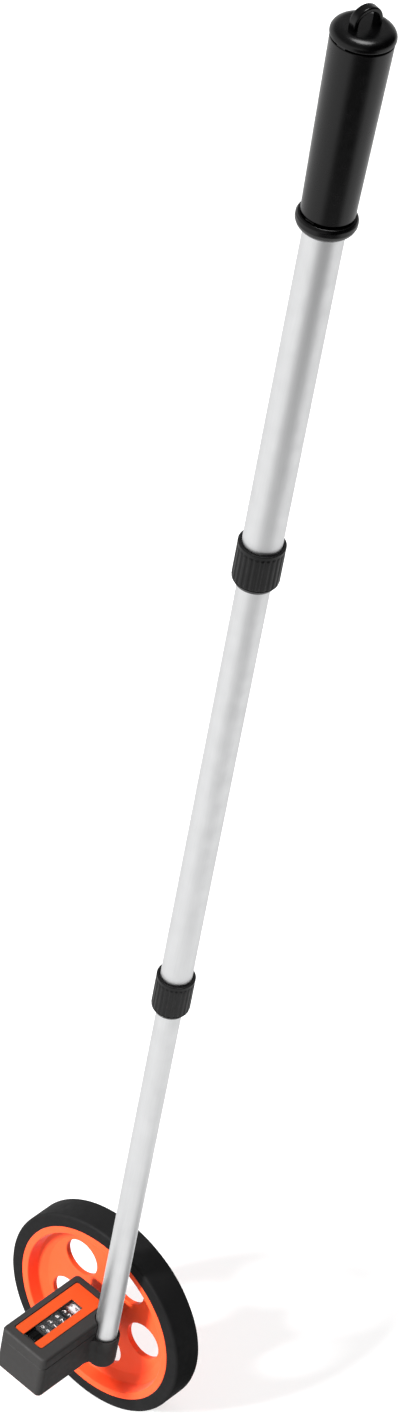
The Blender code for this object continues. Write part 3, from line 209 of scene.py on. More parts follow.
def rounded(points, radii, steps=PLAIN, closed=True):
    """Round the corners of an outline with arcs. radii is one radius, or one for each point."""
    count = len(points)
    radii = radii if isinstance(radii, (list, tuple)) else [radii] * count
    out = []
    for i, (point, radius) in enumerate(zip(points, radii)):
        here = Vector((*point, 0))
        before = Vector((*points[i - 1], 0)) - here
        after = Vector((*points[(i + 1) % count], 0)) - here
        if radius <= 0 or (not closed and i in (0, count - 1)):
            out.append(tuple(point))
            continue
        half = before.angle(after) / 2
        reach = min(radius / tan(half), CORNER_SHARE * before.length, CORNER_SHARE * after.length)
        radius = reach * tan(half)
        start = here + before.normalized() * reach
        end = here + after.normalized() * reach
        centre = here + (before.normalized() + after.normalized()).normalized() * (radius / sin(half))
        first = atan2(start.y - centre.y, start.x - centre.x)
        turn = (atan2(end.y - centre.y, end.x - centre.x) - first + pi) % (2 * pi) - pi
        out += [(centre.x + radius * cos(first + t), centre.y + radius * sin(first + t))
                for t in sweep(turn, steps)]
    return out


def rectangle(x0, x1, y0, y1, radius, steps=WIDE):
    return rounded([(x0, y0), (x1, y0), (x1, y1), (x0, y1)], radius, steps)


def arc(centre, radius, start, end, steps):
    """Points on an arc, both ends included."""
    return [(centre[0] + radius * cos(start + t), centre[1] + radius * sin(start + t))
            for t in sweep(end - start, steps)]


def quarter(radius, steps=PLAIN):
    """Inset and height of points on a rounded edge, from the face's end to the side."""
    return [(radius * (1 - sin(t)), radius * (1 - cos(t))) for t in sweep(pi / 2, steps)]


def rod(radius, low, high):
    return [(0, high), (radius, high), (radius, low), (0, low)]


# Meshes

def bridge(bm, one, two):
    """Faces between two rings of points, either of which may be a single point."""
    for k in range(max(len(one), len(two))):
        n = (k + 1) % max(len(one), len(two))
        if len(one) == 1:
            bm.faces.new((one[0], two[n], two[k]))
        elif len(two) == 1:
            bm.faces.new((one[k], one[n], two[0]))
        else:
            bm.faces.new((one[k], one[n], two[n], two[k]))


def turned(profile, steps, closed=True, radius_at=None):
    """Turn (radius, height) points about local Z. radius_at(index, angle) can change a point's radius."""
    bm = bmesh.new()
    rings = []
    for i, (radius, height) in enumerate(profile):
        if radius <= 0:
            rings.append([bm.verts.new((0, 0, height * MM))])
            continue
        ring = []
        for k in range(steps):
            angle = 2 * pi * k / steps
            out = (radius_at(i, angle) if radius_at else radius) * MM
            ring.append(bm.verts.new((out * cos(angle), out * sin(angle), height * MM)))
        rings.append(ring)
    for one, two in zip(rings, rings[1:] + (rings[:1] if closed else [])):
        if len(one) + len(two) > 2:
            bridge(bm, one, two)
    return bm


def pin(radius, low, high, steps):
    """A solid round rod."""
    return turned(rod(radius, low, high), steps, False)


def wave(ribs, angle):
    """From 1 on each rib to 0 between two ribs."""
    return 0.5 + 0.5 * cos(ribs * angle)


def lofted(levels):
    """A closed body through levels, each a height and an outline of equally many points."""
    bm = bmesh.new()
    rings = [[bm.verts.new((x * MM, y * MM, z * MM)) for x, y in outline] for z, outline in levels]
    for one, two in zip(rings, rings[1:]):
        bridge(bm, one, two)
    bm.faces.new(rings[0][::-1])
    bm.faces.new(rings[-1])
    return bm


def prism(outline, low, high):
    return lofted([(low, outline), (high, outline)])


def block(x0, x1, y0, y1, low, high):
    return prism([(x0, y0), (x1, y0), (x1, y1), (x0, y1)], low, high)


def made(bm, origin, along=Z):
    """An object in the row's frame from a mesh whose local Z is the row's X or Z."""
    turn = Matrix(((0, 0, 1), (1, 0, 0), (0, 1, 0))) if along == X else Matrix.Identity(3)
    bm.transform(Matrix.Translation(origin) @ turn.to_4x4())
    bmesh.ops.recalc_face_normals(bm, faces=bm.faces)
    mesh = bpy.data.meshes.new("piece")
    bm.to_mesh(mesh)
    bm.free()
    obj = bpy.data.objects.new("piece", mesh)
    bpy.context.scene.collection.objects.link(obj)
    return obj


def cut(bm, origin=AXLE, along=Z):
    return "DIFFERENCE", made(bm, origin, along)


def join(bm, origin=AXLE, along=Z):
    return "UNION", made(bm, origin, along)


def carve(obj, steps):
    """Apply booleans in turn, each with an object that is then removed, and weld the result."""
    for operation, tool in steps:
        modifier = obj.modifiers.new("cut", "BOOLEAN")
        modifier.operation = operation
        modifier.solver = "EXACT"
        modifier.object = tool
        bpy.context.view_layer.update()
        graph = bpy.context.evaluated_depsgraph_get()
        mesh = bpy.data.meshes.new_from_object(obj.evaluated_get(graph))
        obj.modifiers.clear()
        obj.data = mesh
        bpy.data.objects.remove(tool, do_unlink=True)
    bm = bmesh.new()
    bm.from_mesh(obj.data)
    bmesh.ops.remove_doubles(bm, verts=bm.verts, dist=WELD * MM)
    bmesh.ops.dissolve_degenerate(bm, edges=bm.edges, dist=WELD * MM)
    bm.to_mesh(obj.data)
    bm.free()


def finish(obj, name, body, material, replaces=(), sharp=SHARP, weighted=True):
    """Name a piece, shade it, give it its material and let it ride on its body."""
    obj.name = name
    obj.data.name = name
    obj.data.materials.clear()
    obj.data.materials.append(MAT[material])
    obj.data.shade_smooth()
    obj.data.set_sharp_from_angle(angle=radians(sharp))
    if weighted:
        modifier = obj.modifiers.new("normals", "WEIGHTED_NORMAL")
        modifier.keep_sharp = True
    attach(obj, body)
    if replaces:
        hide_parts(*replaces)


# Materials

class Nodes:
    """Adds nodes to a new material and links them."""

    def __init__(self, name):
        self.material = bpy.data.materials.new(name)
        self.material.use_nodes = True
        self.tree = self.material.node_tree
        self.shader = self.tree.nodes["Principled BSDF"]
        self.coords = self.tree.nodes.new("ShaderNodeTexCoord").outputs["Object"]

    def add(self, kind, **values):
        node = self.tree.nodes.new(kind)
        for key, value in values.items():
            if key in node.inputs:
                node.inputs[key].default_value = value
            else:
                setattr(node, key, value)
        return node

    def link(self, out, into):
        self.tree.links.new(out, into)

    def math(self, operation, one, two):
        node = self.add("ShaderNodeMath", operation=operation)
        for socket, value in zip(node.inputs, (one, two)):
            if isinstance(value, (int, float)):
                socket.default_value = value
            else:
                self.link(value, socket)
        return node.outputs[0]

    def noise(self, scale, detail=3.0, stretch=None):
        node = self.add("ShaderNodeTexNoise", Scale=scale, Detail=detail)
        if stretch:
            mapping = self.add("ShaderNodeMapping", Scale=stretch)
            self.link(self.coords, mapping.inputs["Vector"])
            self.link(mapping.outputs["Vector"], node.inputs["Vector"])
        else:
            self.link(self.coords, node.inputs["Vector"])
        return node.outputs["Fac"]

    def ramp(self, value, low, high, from_low=0.3, from_high=0.7, smooth=False):
        node = self.add("ShaderNodeMapRange", interpolation_type="SMOOTHSTEP" if smooth else "LINEAR")
        node.inputs["From Min"].default_value = from_low
        node.inputs["From Max"].default_value = from_high
        node.inputs["To Min"].default_value = low
        node.inputs["To Max"].default_value = high
        self.link(value, node.inputs["Value"])
        return node.outputs["Result"]

    def mix(self, factor, one, two):
        node = self.add("ShaderNodeMix", data_type="RGBA")
        self.link(factor, node.inputs[0])
        node.inputs[6].default_value = (*one, 1)
        node.inputs[7].default_value = (*two, 1)
        return node.outputs[2]

    def bump(self, height, strength, depth):
        node = self.add("ShaderNodeBump", Strength=strength, Distance=depth * MM)
        self.link(height, node.inputs["Height"])
        self.link(node.outputs["Normal"], self.shader.inputs["Normal"])

    def colour(self, factor, one, two):
        self.link(self.mix(factor, one, two), self.shader.inputs["Base Color"])

    def gloss(self, value, low, high):
        self.link(self.ramp(value, low, high), self.shader.inputs["Roughness"])


def plastic(name, light, dark, rough, grain, depth, specular):
    """Moulded plastic: a slow mottle in colour and gloss, and a fine moulded grain."""
    n = Nodes(name)
    n.colour(n.ramp(n.noise(MOTTLE_SCALE), 0, 1), light, dark)
    n.gloss(n.noise(SHEEN_SCALE), *rough)
    n.bump(n.noise(grain, 2), GRAIN_STRENGTH, depth)
    n.shader.inputs["Specular IOR Level"].default_value = specular
    return n.material


def metal(name, light, dark, rough, stretch):
    """Metal with fine lines along or across, as the stretch sets them."""
    n = Nodes(name)
    lines = n.noise(1.0, 3, stretch)
    n.colour(n.ramp(lines, 0, 1), light, dark)
    n.gloss(n.noise(METAL_SHEEN_SCALE), *rough)
    n.bump(lines, LINE_STRENGTH, LINE_DEPTH)
    n.shader.inputs["Metallic"].default_value = 1.0
    return n.material


def clear_plastic(name):
    """Clear plastic that lets the lamps' light through to the drums."""
    n = Nodes(name)
    n.shader.inputs["Roughness"].default_value = CLEAR_ROUGH
    n.shader.inputs["IOR"].default_value = CLEAR_IOR
    n.shader.inputs["Transmission Weight"].default_value = 1.0
    n.colour(n.ramp(n.noise(CLEAR_TINT_SCALE), 0, 1), (0.96, 0.97, 0.98), (0.94, 0.95, 0.96))
    n.bump(n.noise(CLEAR_WAVE_SCALE, 2), CLEAR_WAVE_STRENGTH, CLEAR_WAVE_DEPTH)
    path = n.add("ShaderNodeLightPath")
    through = n.math("MAXIMUM", path.outputs["Is Shadow Ray"], path.outputs["Is Diffuse Ray"])
    mix = n.add("ShaderNodeMixShader")
    n.link(through, mix.inputs[0])
    n.link(n.shader.outputs["BSDF"], mix.inputs[1])
    n.link(n.add("ShaderNodeBsdfTransparent").outputs["BSDF"], mix.inputs[2])
    n.link(mix.outputs[0], n.tree.nodes["Material Output"].inputs["Surface"])
    return n.material


MAT = {
    "rubber": plastic("rubber_black", (0.0056, 0.0055, 0.0057), (0.0042, 0.0042, 0.0044),
                      rough=(0.62, 0.74), grain=1800, depth=0.03, specular=0.15),
    "orange": plastic("orange_wheel", (0.95, 0.090, 0.026), (0.93, 0.082, 0.023),
                      rough=(0.42, 0.52), grain=1500, depth=0.015, specular=0.12),
    "label": plastic("orange_label", (0.50, 0.060, 0.010), (0.48, 0.056, 0.0095),
                     rough=(0.42, 0.50), grain=2200, depth=0.008, specular=0.15),
    "casing": plastic("grey_casing", (0.0215, 0.0205, 0.0200), (0.0205, 0.0195, 0.0190),
                      rough=(0.62, 0.72), grain=2600, depth=0.03, specular=0.28),
    "collar": plastic("black_collar", (0.0065, 0.0065, 0.007), (0.005, 0.005, 0.0055),
                      rough=(0.36, 0.46), grain=2200, depth=0.02, specular=0.35),
    "grip": plastic("black_grip", (0.0010, 0.0010, 0.0012), (0.0006, 0.0006, 0.0008),
                    rough=(0.22, 0.28), grain=1700, depth=0.02, specular=0.36),
    "knob": plastic("black_reset_wheel", (0.002, 0.002, 0.002), (0.0015, 0.0015, 0.0015),
                    rough=(0.10, 0.18), grain=1500, depth=0.005, specular=0.25),
    "tube": metal("satin_aluminium", (0.93, 0.935, 0.94), (0.89, 0.895, 0.90),
                  rough=(0.44, 0.52), stretch=(2600, 2600, 40)),
    "steel": metal("bright_steel", (0.62, 0.62, 0.63), (0.55, 0.55, 0.56),
                   rough=(0.22, 0.34), stretch=(1200, 1200, 1200)),
    "zinc": metal("zinc_sheet", (0.52, 0.53, 0.55), (0.45, 0.46, 0.48),
                  rough=(0.32, 0.46), stretch=(300, 300, 300)),
    "bronze": metal("sintered_bronze", (0.56, 0.36, 0.17), (0.48, 0.30, 0.13),
                    rough=(0.38, 0.50), stretch=(1500, 1500, 1500)),
    "nylon": plastic("natural_nylon", (0.40, 0.39, 0.36), (0.37, 0.36, 0.33),
                     rough=(0.42, 0.52), grain=1800, depth=0.01, specular=0.5),
    "white": plastic("white_drum", (0.60, 0.60, 0.61), (0.56, 0.56, 0.57),
                     rough=(0.34, 0.44), grain=2000, depth=0.008, specular=0.4),
    "black": plastic("black_drum", (0.006, 0.006, 0.007), (0.0045, 0.0045, 0.005),
                     rough=(0.34, 0.46), grain=2000, depth=0.008, specular=0.3),
    "ink_white": plastic("white_ink", (0.80, 0.80, 0.79), (0.75, 0.75, 0.74),
                         rough=(0.45, 0.55), grain=3000, depth=0.004, specular=0.3),
    "ink_black": plastic("black_ink", (0.006, 0.006, 0.007), (0.0045, 0.0045, 0.005),
                         rough=(0.45, 0.55), grain=3000, depth=0.004, specular=0.3),
    "clear": clear_plastic("clear_lens"),
}

# The look of each material slot of the record
CAD_LOOKS = {
    "steel": "steel", "bush_bronze": "bronze", "zinc_plate": "zinc", "nylon": "nylon",
    "drum_white": "white", "drum_black": "black", "tyre_rubber": "rubber", "wheel_orange": "orange",
    "label_orange": "label", "casing_grey": "casing", "gloss_black": "knob", "grip_black": "grip",
    "tube_aluminium": "tube", "clear_window": "clear",
}


# Wheel

def build_tyre():
    half, bead = TYRE_HALF_W, BEAD_HALF_W
    profile = [(TYRE_R, half), (TYRE_R, -half), (TYRE_INNER_R, -half), (TYRE_INNER_R, -bead),
               (BEAD_R, -bead), (BEAD_R, bead), (TYRE_INNER_R, bead), (TYRE_INNER_R, half)]
    radii = [TYRE_EDGE_R, TYRE_EDGE_R, FINE_EDGE, 0, 0, 0, 0, FINE_EDGE]
    tyre = made(turned(rounded(profile, radii), WHEEL_STEPS), AXLE, X)
    tyre.visible_glossy = False
    finish(tyre, "rubber_tyre", "wheel", "rubber", ["tyre"])


def build_disc():
    hub_front = span("hub_washer", X)[0] - GAP
    groove = BEAD_HALF_W + GAP
    groove_r = BEAD_R - GAP
    front = [(RIM_R, groove), (RIM_R, RIM_FACE), (RIM_LIP_R, RIM_FACE), (RIM_FOOT_R, WEB_FRONT + RIM_FOOT_H),
             (WEB_EDGE_R, WEB_FRONT), (HUB_R, WEB_FRONT), (HUB_R, hub_front), (AXLE_BORE_R, hub_front)]
    back = [(AXLE_BORE_R, HUB_BACK), (HUB_R, HUB_BACK), (HUB_R, WEB_BACK), (WEB_EDGE_R, WEB_BACK),
            (RIM_FOOT_R, WEB_BACK - RIM_FOOT_H), (RIM_LIP_R, -RIM_FACE), (RIM_R, -RIM_FACE), (RIM_R, -groove)]
    rim = [FINE_EDGE, LIP_EDGE, RIM_FOOT_EDGE, WEB_EDGE]
    radii = [0, *rim, HUB_FOOT_EDGE, HUB_EDGE, FINE_EDGE,
             FINE_EDGE, HUB_BACK_EDGE, HUB_BACK_FOOT_EDGE, *reversed(rim), 0, 0, 0]
    profile = rounded(front + back + [(groove_r, -groove), (groove_r, groove)], radii)
    disc = made(turned(profile, WHEEL_STEPS), AXLE, X)
    middle = (WEB_FRONT + WEB_BACK) / 2
    flare = [(0, WEB_FRONT + OVERRUN), (WEB_HOLE_R + WEB_HOLE_EDGE + OVERRUN, WEB_FRONT + OVERRUN)]
    flare += [(WEB_HOLE_R + inset, WEB_FRONT - drop)
              for inset, drop in quarter(WEB_HOLE_EDGE, WEB_HOLE_EDGE_STEPS)]
    spool = flare + [(r, 2 * middle - h) for r, h in reversed(flare)]
    holes = []
    for i in range(WEB_HOLES):
        turn = WEB_HOLE_TURN + 2 * pi * i / WEB_HOLES
        centre = AXLE + Vector((0, WEB_HOLE_CIRCLE_R * MM * cos(turn), WEB_HOLE_CIRCLE_R * MM * sin(turn)))
        holes.append(cut(turned(spool, HOLE_STEPS, False), centre, X))
    disc.visible_glossy = False
    carve(disc, holes)
    finish(disc, "orange_disc", "wheel", "orange", ["wheel_disc"], SHARP_CUT)


def build_axle():
    low, high = span("axle", X)
    clip = span("axle_clip", X)
    groove = (clip[0] - CLIP_GROOVE_ROOM, clip[1] + CLIP_GROOVE_ROOM)
    groove_r = AXLE_R - CLIP_GROOVE_DEPTH
    profile = [(0, high), (AXLE_R, high), (AXLE_R, groove[1]), (groove_r, groove[1]), (groove_r, groove[0]),
               (AXLE_R, groove[0]), (AXLE_R, low), (0, low)]
    profile = rounded(profile, [0, AXLE_EDGE, 0, 0, 0, 0, AXLE_EDGE, 0], SMALL, False)
    axle = made(turned(profile, AXLE_STEPS, False), AXLE, X)
    finish(axle, "axle_rod", "wheel", "steel", ["axle"])


def build_washers():
    for node, name in (("nut_washer", "washer_under_nut"), ("hub_washer", "washer_at_hub")):
        low, high = span(node, X)
        ring = [(WASHER_BORE_R, high), (WASHER_R, high), (WASHER_R, low), (WASHER_BORE_R, low)]
        washer = made(turned(rounded(ring, FINE_EDGE, TINY), SMALL_STEPS), AXLE, X)
        finish(washer, name, "wheel", "steel", [node])


def build_nut():
    """A hexagon whose corners are turned down by a cone at both faces."""
    low, high = span("axle_nut", X)
    across = NUT_FLATS / 2 / cos(pi / 6)
    hexagon = [(across * cos(k * pi / 3), across * sin(k * pi / 3)) for k in range(6)]
    nut = made(prism(hexagon, low, high), AXLE, X)
    slope = (across + GAP - NUT_FLATS / 2) / NUT_CHAMFER
    tip = NUT_FLATS / 2 - slope * GAP
    cone = [(0, high + GAP), (tip, high + GAP), (across + GAP, high - NUT_CHAMFER),
            (across + GAP, low + NUT_CHAMFER), (tip, low - GAP), (0, low - GAP)]
    carve(nut, [("INTERSECT", made(turned(cone, SMALL_STEPS, False), AXLE, X)),
                cut(pin(NUT_BORE_R, low - OVERRUN, high + OVERRUN, POST_STEPS), AXLE, X)])
    finish(nut, "hexagon_nut", "wheel", "steel", ["axle_nut"], SHARP_NUT)


# Pole

def build_tubes():
    for node, (name, radius, body) in TUBES.items():
        low, high = span(node, Z)
        inner = radius - TUBE_WALL
        profile = rounded([(inner, high), (radius, high), (radius, low), (inner, low)], FINE_EDGE, TINY)
        tube = made(turned(profile, TUBE_STEPS), POLE)
        finish(tube, name, body, "tube", [node])


def build_collars():
    for node, (name, tube_r, inner_tube_r, body) in COLLARS.items():
        collar = made(ribbed_collar(*span(node, Z), tube_r, inner_tube_r), POLE)
        finish(collar, name, body, "collar", [node], SHARP_RIBS)


def ribbed_collar(low, high, tube_r, inner_tube_r):
    """A plain cup rim on top, ribs with rounded ends, and a coned end below."""
    bore = tube_r + GAP
    outer = bore + COLLAR_WALL
    base = outer - RIB_DEPTH
    mouth = inner_tube_r + COLLAR_MOUTH_GAP
    rib_low, rib_high = low + COLLAR_FOOT_H, high - COLLAR_RIM_H
    profile = rounded([(bore + COLLAR_RIM_LIP, high), (outer, high), (outer, rib_high + COLLAR_STEP_TOP),
                       (base, rib_high + COLLAR_STEP_FOOT)], [0, *COLLAR_RIM_EDGES, 0], SMALL, False)
    levels = [(rib_high + rise, share) for rise, share in RIB_TOP_LEVELS]
    levels += [(rib_low + rise, share) for rise, share in RIB_FOOT_LEVELS]
    shares = {len(profile) + i: share for i, (_, share) in enumerate(levels)}
    profile += [(outer, height) for height, _ in levels]
    profile += rounded([(base, rib_low + SHOULDER_RISE), (outer - SHOULDER_IN, rib_low - SHOULDER_DROP),
                        (outer - COLLAR_FOOT_TAPER, low), (mouth, low), (mouth, low + COLLAR_MOUTH_H)],
                       [0, *COLLAR_FOOT_EDGES, 0], SMALL, False)
    profile += [(bore, low + COLLAR_CONE_H), (bore, rib_high)]

    def ribbed(i, angle):
        if i not in shares:
            return profile[i][0]
        height = min(1.0, max(0.0, (wave(COLLAR_RIBS, angle) - RIB_VALLEY) * RIB_STEEPNESS))
        return base + RIB_DEPTH * shares[i] * height

    return turned(profile, STEPS_PER_RIB * COLLAR_RIBS, True, ribbed)


# Grip

def key_tools(inner, outer, low, high):
    """Both keys that bridge a groove of the grip."""
    tools = []
    for side in (1, -1):
        x0, x1 = sorted((side * inner, side * outer))
        tools.append(join(block(x0, x1, -KEY_W / 2, KEY_W / 2, low, high), POLE))
    return tools


def build_grip():
    low, high = span("grip_sleeve", Z)
    body_low, body_high = low + GROOVE_W - GAP, high - GROOVE_W + GAP
    low_neck, high_neck = GRIP_LOW_R - GROOVE_DEPTH, GRIP_TOP_R - GROOVE_DEPTH
    profile = [(high_neck, high), (high_neck, body_high), (GRIP_TOP_R, body_high), (GRIP_LOW_R, body_low),
               (low_neck, body_low), (low_neck, low), (GRIP_BORE_R, low), (GRIP_BORE_R, high)]
    profile = rounded(profile, [0, 0, GRIP_EDGE, GRIP_EDGE, 0, 0, 0, 0], SOFT)
    grip = made(turned(profile, BODY_STEPS), POLE)
    finish(grip, "grip_body", "handle", "grip", ["grip_sleeve"])
    build_flange(low - GAP, low_neck + GAP)
    build_cap(high + GAP, high_neck + GAP)


def build_flange(rim, key_r):
    foot = span("grip_flange", Z)[0]
    top_edge, waist_top, waist_foot = (rim - drop * (rim - foot) for drop in FLANGE_DROPS)
    waist = FLANGE_R - FLANGE_BULGE
    profile = [(GRIP_BORE_R, rim), (waist, rim), (FLANGE_R, top_edge), (FLANGE_R, waist_top),
               (waist, waist_foot), (FLANGE_FOOT_R, foot), (GRIP_BORE_R, foot)]
    flange = made(turned(rounded(profile, [0, *FLANGE_EDGES, 0]), BODY_STEPS), POLE)
    carve(flange, key_tools(key_r, GRIP_LOW_R - KEY_INSET, rim - GAP, rim + GROOVE_W - GAP))
    finish(flange, "grip_foot", "handle", "grip", ["grip_flange"], SHARP_CUT)


def build_cap(base, key_r):
    top = base + CAP_H
    shoulder = [(CAP_FLAT_R + (CAP_R - CAP_FLAT_R) * sin(t), top - CAP_SHOULDER_H * (1 - cos(t)))
                for t in sweep(pi / 2, SHOULDER_STEPS)]
    edge = rounded([shoulder[-1], (CAP_R, base), (CAP_SPIGOT_R, base)], CAP_EDGE_R, SMALL, False)[1:-1]
    spigot = [(CAP_SPIGOT_R, base), (CAP_SPIGOT_R, base - CAP_SPIGOT_L), (0, base - CAP_SPIGOT_L)]
    cap = made(turned([(0, top)] + shoulder + edge + spigot, BODY_STEPS, False), POLE)
    carve(cap, key_tools(key_r, GRIP_TOP_R - KEY_INSET, base - GROOVE_W + GAP, base + GAP))
    carve(cap, [("UNION", hang_loop(top))])
    finish(cap, "grip_end_cap", "handle", "grip", ["grip_cap"], SHARP_CUT)


def hang_loop(cap_top):
    """A strap with rounded edges, swept over an arch on two short legs."""
    middle = LOOP_R - LOOP_T / 2
    centre = LOOP_H - LOOP_R
    path = [(middle, -LOOP_ROOT, 0.0), (middle, centre / 2, 0.0)]
    path += [(middle * cos(t), centre + middle * sin(t), t) for t in sweep(pi, LOOP_STEPS)]
    path += [(-middle, centre / 2, pi), (-middle, -LOOP_ROOT, pi)]
    section = rectangle(-LOOP_T / 2, LOOP_T / 2, -LOOP_W / 2, LOOP_W / 2, LOOP_EDGE_R, SOFT)
    bm = bmesh.new()
    rings = [[bm.verts.new(((x + out * cos(turn)) * MM, across * MM, (z + out * sin(turn)) * MM))
              for out, across in section] for x, z, turn in path]
    for one, two in zip(rings, rings[1:]):
        bridge(bm, one, two)
    bm.faces.new(rings[0][::-1])
    bm.faces.new(rings[-1])
    bm.transform(Matrix.Rotation(LOOP_TURN, 4, "Z"))
    return made(bm, POLE + Vector((0, 0, cap_top * MM)))


# Counter box

def box_outline(inset):
    return rectangle(BOX_X0 + inset, BOX_X1 - inset, BOX_Y0 + inset, BOX_Y1 - inset, CORNER_R - inset,
                     BOX_CORNER)


def cavity_outline():
    """The inside of the box, clear of the pole's notch by the wall."""
    x0, x1, y0, y1 = BOX_X0 + WALL, BOX_X1 - WALL, BOX_Y0 + WALL, BOX_Y1 - WALL
    outline = rounded([(x0, y0), (x1, y0), (x1, y1)], CORNER_R - WALL)
    start = atan2(y1 - POLE_Y, sqrt(KEEP_OUT_R ** 2 - (y1 - POLE_Y) ** 2))
    outline += arc((POLE_X, POLE_Y), KEEP_OUT_R, start, KEEP_OUT_TURN - pi, KEEP_OUT_STEPS)
    return outline + [(x0, outline[-1][1])]


def post_places():
    """Where the casing screws stand, as points of the row's frame at the axle's height."""
    places = []
    for k in range(1, SCREW_COUNT + 1):
        low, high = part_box(f"casing_screw_{k}")
        places.append(Vector(((low.x + high.x) / 2, (low.y + high.y) / 2, AXLE.z)))
    return places


def socket_web():
    """The concave corner between the box's long side and the round socket."""
    centre_y = BOX_Y1 + SOCKET_FILLET_R
    centre_x = POLE_X + sqrt((SOCKET_R + SOCKET_FILLET_R) ** 2 - (centre_y - POLE_Y) ** 2)
    to_pole = atan2(POLE_Y - centre_y, POLE_X - centre_x)
    to_pole -= 2 * pi if to_pole > 0 else 0
    inner_y = BOX_Y1 - WALL / 2
    outline = arc((centre_x, centre_y), SOCKET_FILLET_R, -pi / 2, to_pole, FILLET_STEPS)
    return outline + [(POLE_X + SOCKET_R / 2, inner_y), (centre_x, inner_y)]


def screw_hole(hole_r, seat_r, low, seat_h, high):
    """A hole with a wider seat for the screw's head, which comes from below."""
    seat, end = low + seat_h, low - OVERRUN
    profile = [(0, high), (hole_r, high), (hole_r, seat), (seat_r, seat), (seat_r, end), (0, end)]
    return turned(profile, SCREW_STEPS, False)


def build_lower_casing():
    top = SEAM - GAP
    levels = [(BOX_BOTTOM + rise, box_outline(inset)) for inset, rise in quarter(BASE_EDGE_R)]
    levels += [(top - SEAM_EDGE, box_outline(0)), (top, box_outline(SEAM_EDGE))]
    case = made(lofted(levels), AXLE)
    floor = SOCKET_FOOT + SOCKET_FLOOR
    socket = rounded(rod(SOCKET_R, SOCKET_FOOT, SOCKET_MOUTH), [0, SOCKET_MOUTH_EDGE_R, SOCKET_EDGE_R, 0],
                     WIDE, False)
    flare = SOCKET_BORE_R + SOCKET_MOUTH_FLARE
    bore = [(0, SOCKET_MOUTH + OVERRUN), (flare, SOCKET_MOUTH + OVERRUN), (flare, SOCKET_MOUTH),
            (SOCKET_BORE_R, SOCKET_MOUTH - SOCKET_MOUTH_FLARE / 2), (SOCKET_BORE_R, floor), (0, floor)]
    boss_end = BOX_X0 + WALL + BUSH_BOSS_L
    steps = [join(turned(socket, BODY_STEPS, False), POLE),
             join(prism(socket_web(), BOX_BOTTOM + BASE_EDGE_R / 2, SOCKET_MOUTH - SOCKET_FILLET_DROP)),
             cut(pin(NOTCH_R, SOCKET_MOUTH, SEAM + OVERRUN, BODY_STEPS), POLE),
             cut(turned(bore, BODY_STEPS, False), POLE),
             cut(prism(cavity_outline(), BOX_BOTTOM + WALL, SEAM + OVERRUN)),
             join(pin(BUSH_BOSS_R, BOX_X0 + WALL / 2, boss_end, SMALL_STEPS), AXLE, X),
             cut(pin(BUSH_SEAT_R, BOX_X0 - OVERRUN, boss_end + OVERRUN, SMALL_STEPS), AXLE, X)]
    steps += [join(pin(POST_R, BOX_BOTTOM + WALL / 2, top - GAP, POST_STEPS), place)
              for place in post_places()]
    steps += [cut(screw_hole(SCREW_HOLE_R, SCREW_SEAT_R, BOX_BOTTOM, SCREW_SEAT_H, SEAM + OVERRUN), place)
              for place in post_places()]
    steps.append(cut(screw_hole(TUBE_SCREW_HOLE_R, TUBE_SCREW_SEAT_R, SOCKET_FOOT, TUBE_SCREW_SEAT_H,
                                floor + OVERRUN), POLE))
    carve(case, steps)
    finish(case, "box_base", "lower_section", "casing", ["lower_casing"], SHARP_CASE)


def build_upper_casing():
    levels = [(SEAM, box_outline(SEAM_EDGE)), (SEAM + SEAM_EDGE, box_outline(0))]
    levels += [(BOX_TOP - drop, box_outline(inset)) for inset, drop in reversed(quarter(LID_EDGE_R))]
    lid = made(lofted(levels), AXLE)
    recess = BOX_TOP - LABEL_RECESS
    ceiling = BOX_TOP - LID_TOP
    below, above = SEAM - OVERRUN, BOX_TOP + OVERRUN
    ledge = LENS_LEDGE
    label = rectangle(LABEL_X0 - GAP, LABEL_X1 + GAP, LABEL_Y0 - GAP, LABEL_Y1 + GAP, LABEL_CORNER_R)
    steps = [cut(pin(NOTCH_R, below, above, BODY_STEPS), POLE),
             cut(prism(cavity_outline(), below, ceiling)),
             cut(prism(label, recess, above)),
             cut(block(WINDOW_X0 - ledge, WINDOW_X1 + ledge / 2, WINDOW_Y0 - ledge, WINDOW_Y1 + ledge,
                       recess - LENS_T - GAP, BOX_TOP)),
             cut(block(WINDOW_X0, WINDOW_X1, WINDOW_Y0, WINDOW_Y1, ceiling - OVERRUN, BOX_TOP)),
             cut(block(KNOB_X0, KNOB_X1, WINDOW_Y0, WINDOW_Y1, ceiling - OVERRUN, BOX_TOP))]
    steps += [join(pin(POST_R, SEAM + GAP, ceiling + WALL / 2, POST_STEPS), place)
              for place in post_places()]
    steps += [cut(pin(SCREW_HOLE_R, below, ceiling - POST_TOP, SCREW_STEPS), place)
              for place in post_places()]
    carve(lid, steps)
    finish(lid, "box_lid", "lower_section", "casing", ["upper_casing"], SHARP_CASE)


def bevel(bm, edges, width):
    bmesh.ops.bevel(bm, geom=edges, offset=width * MM, segments=BEVEL_SEGMENTS, affect="EDGES", profile=0.5)


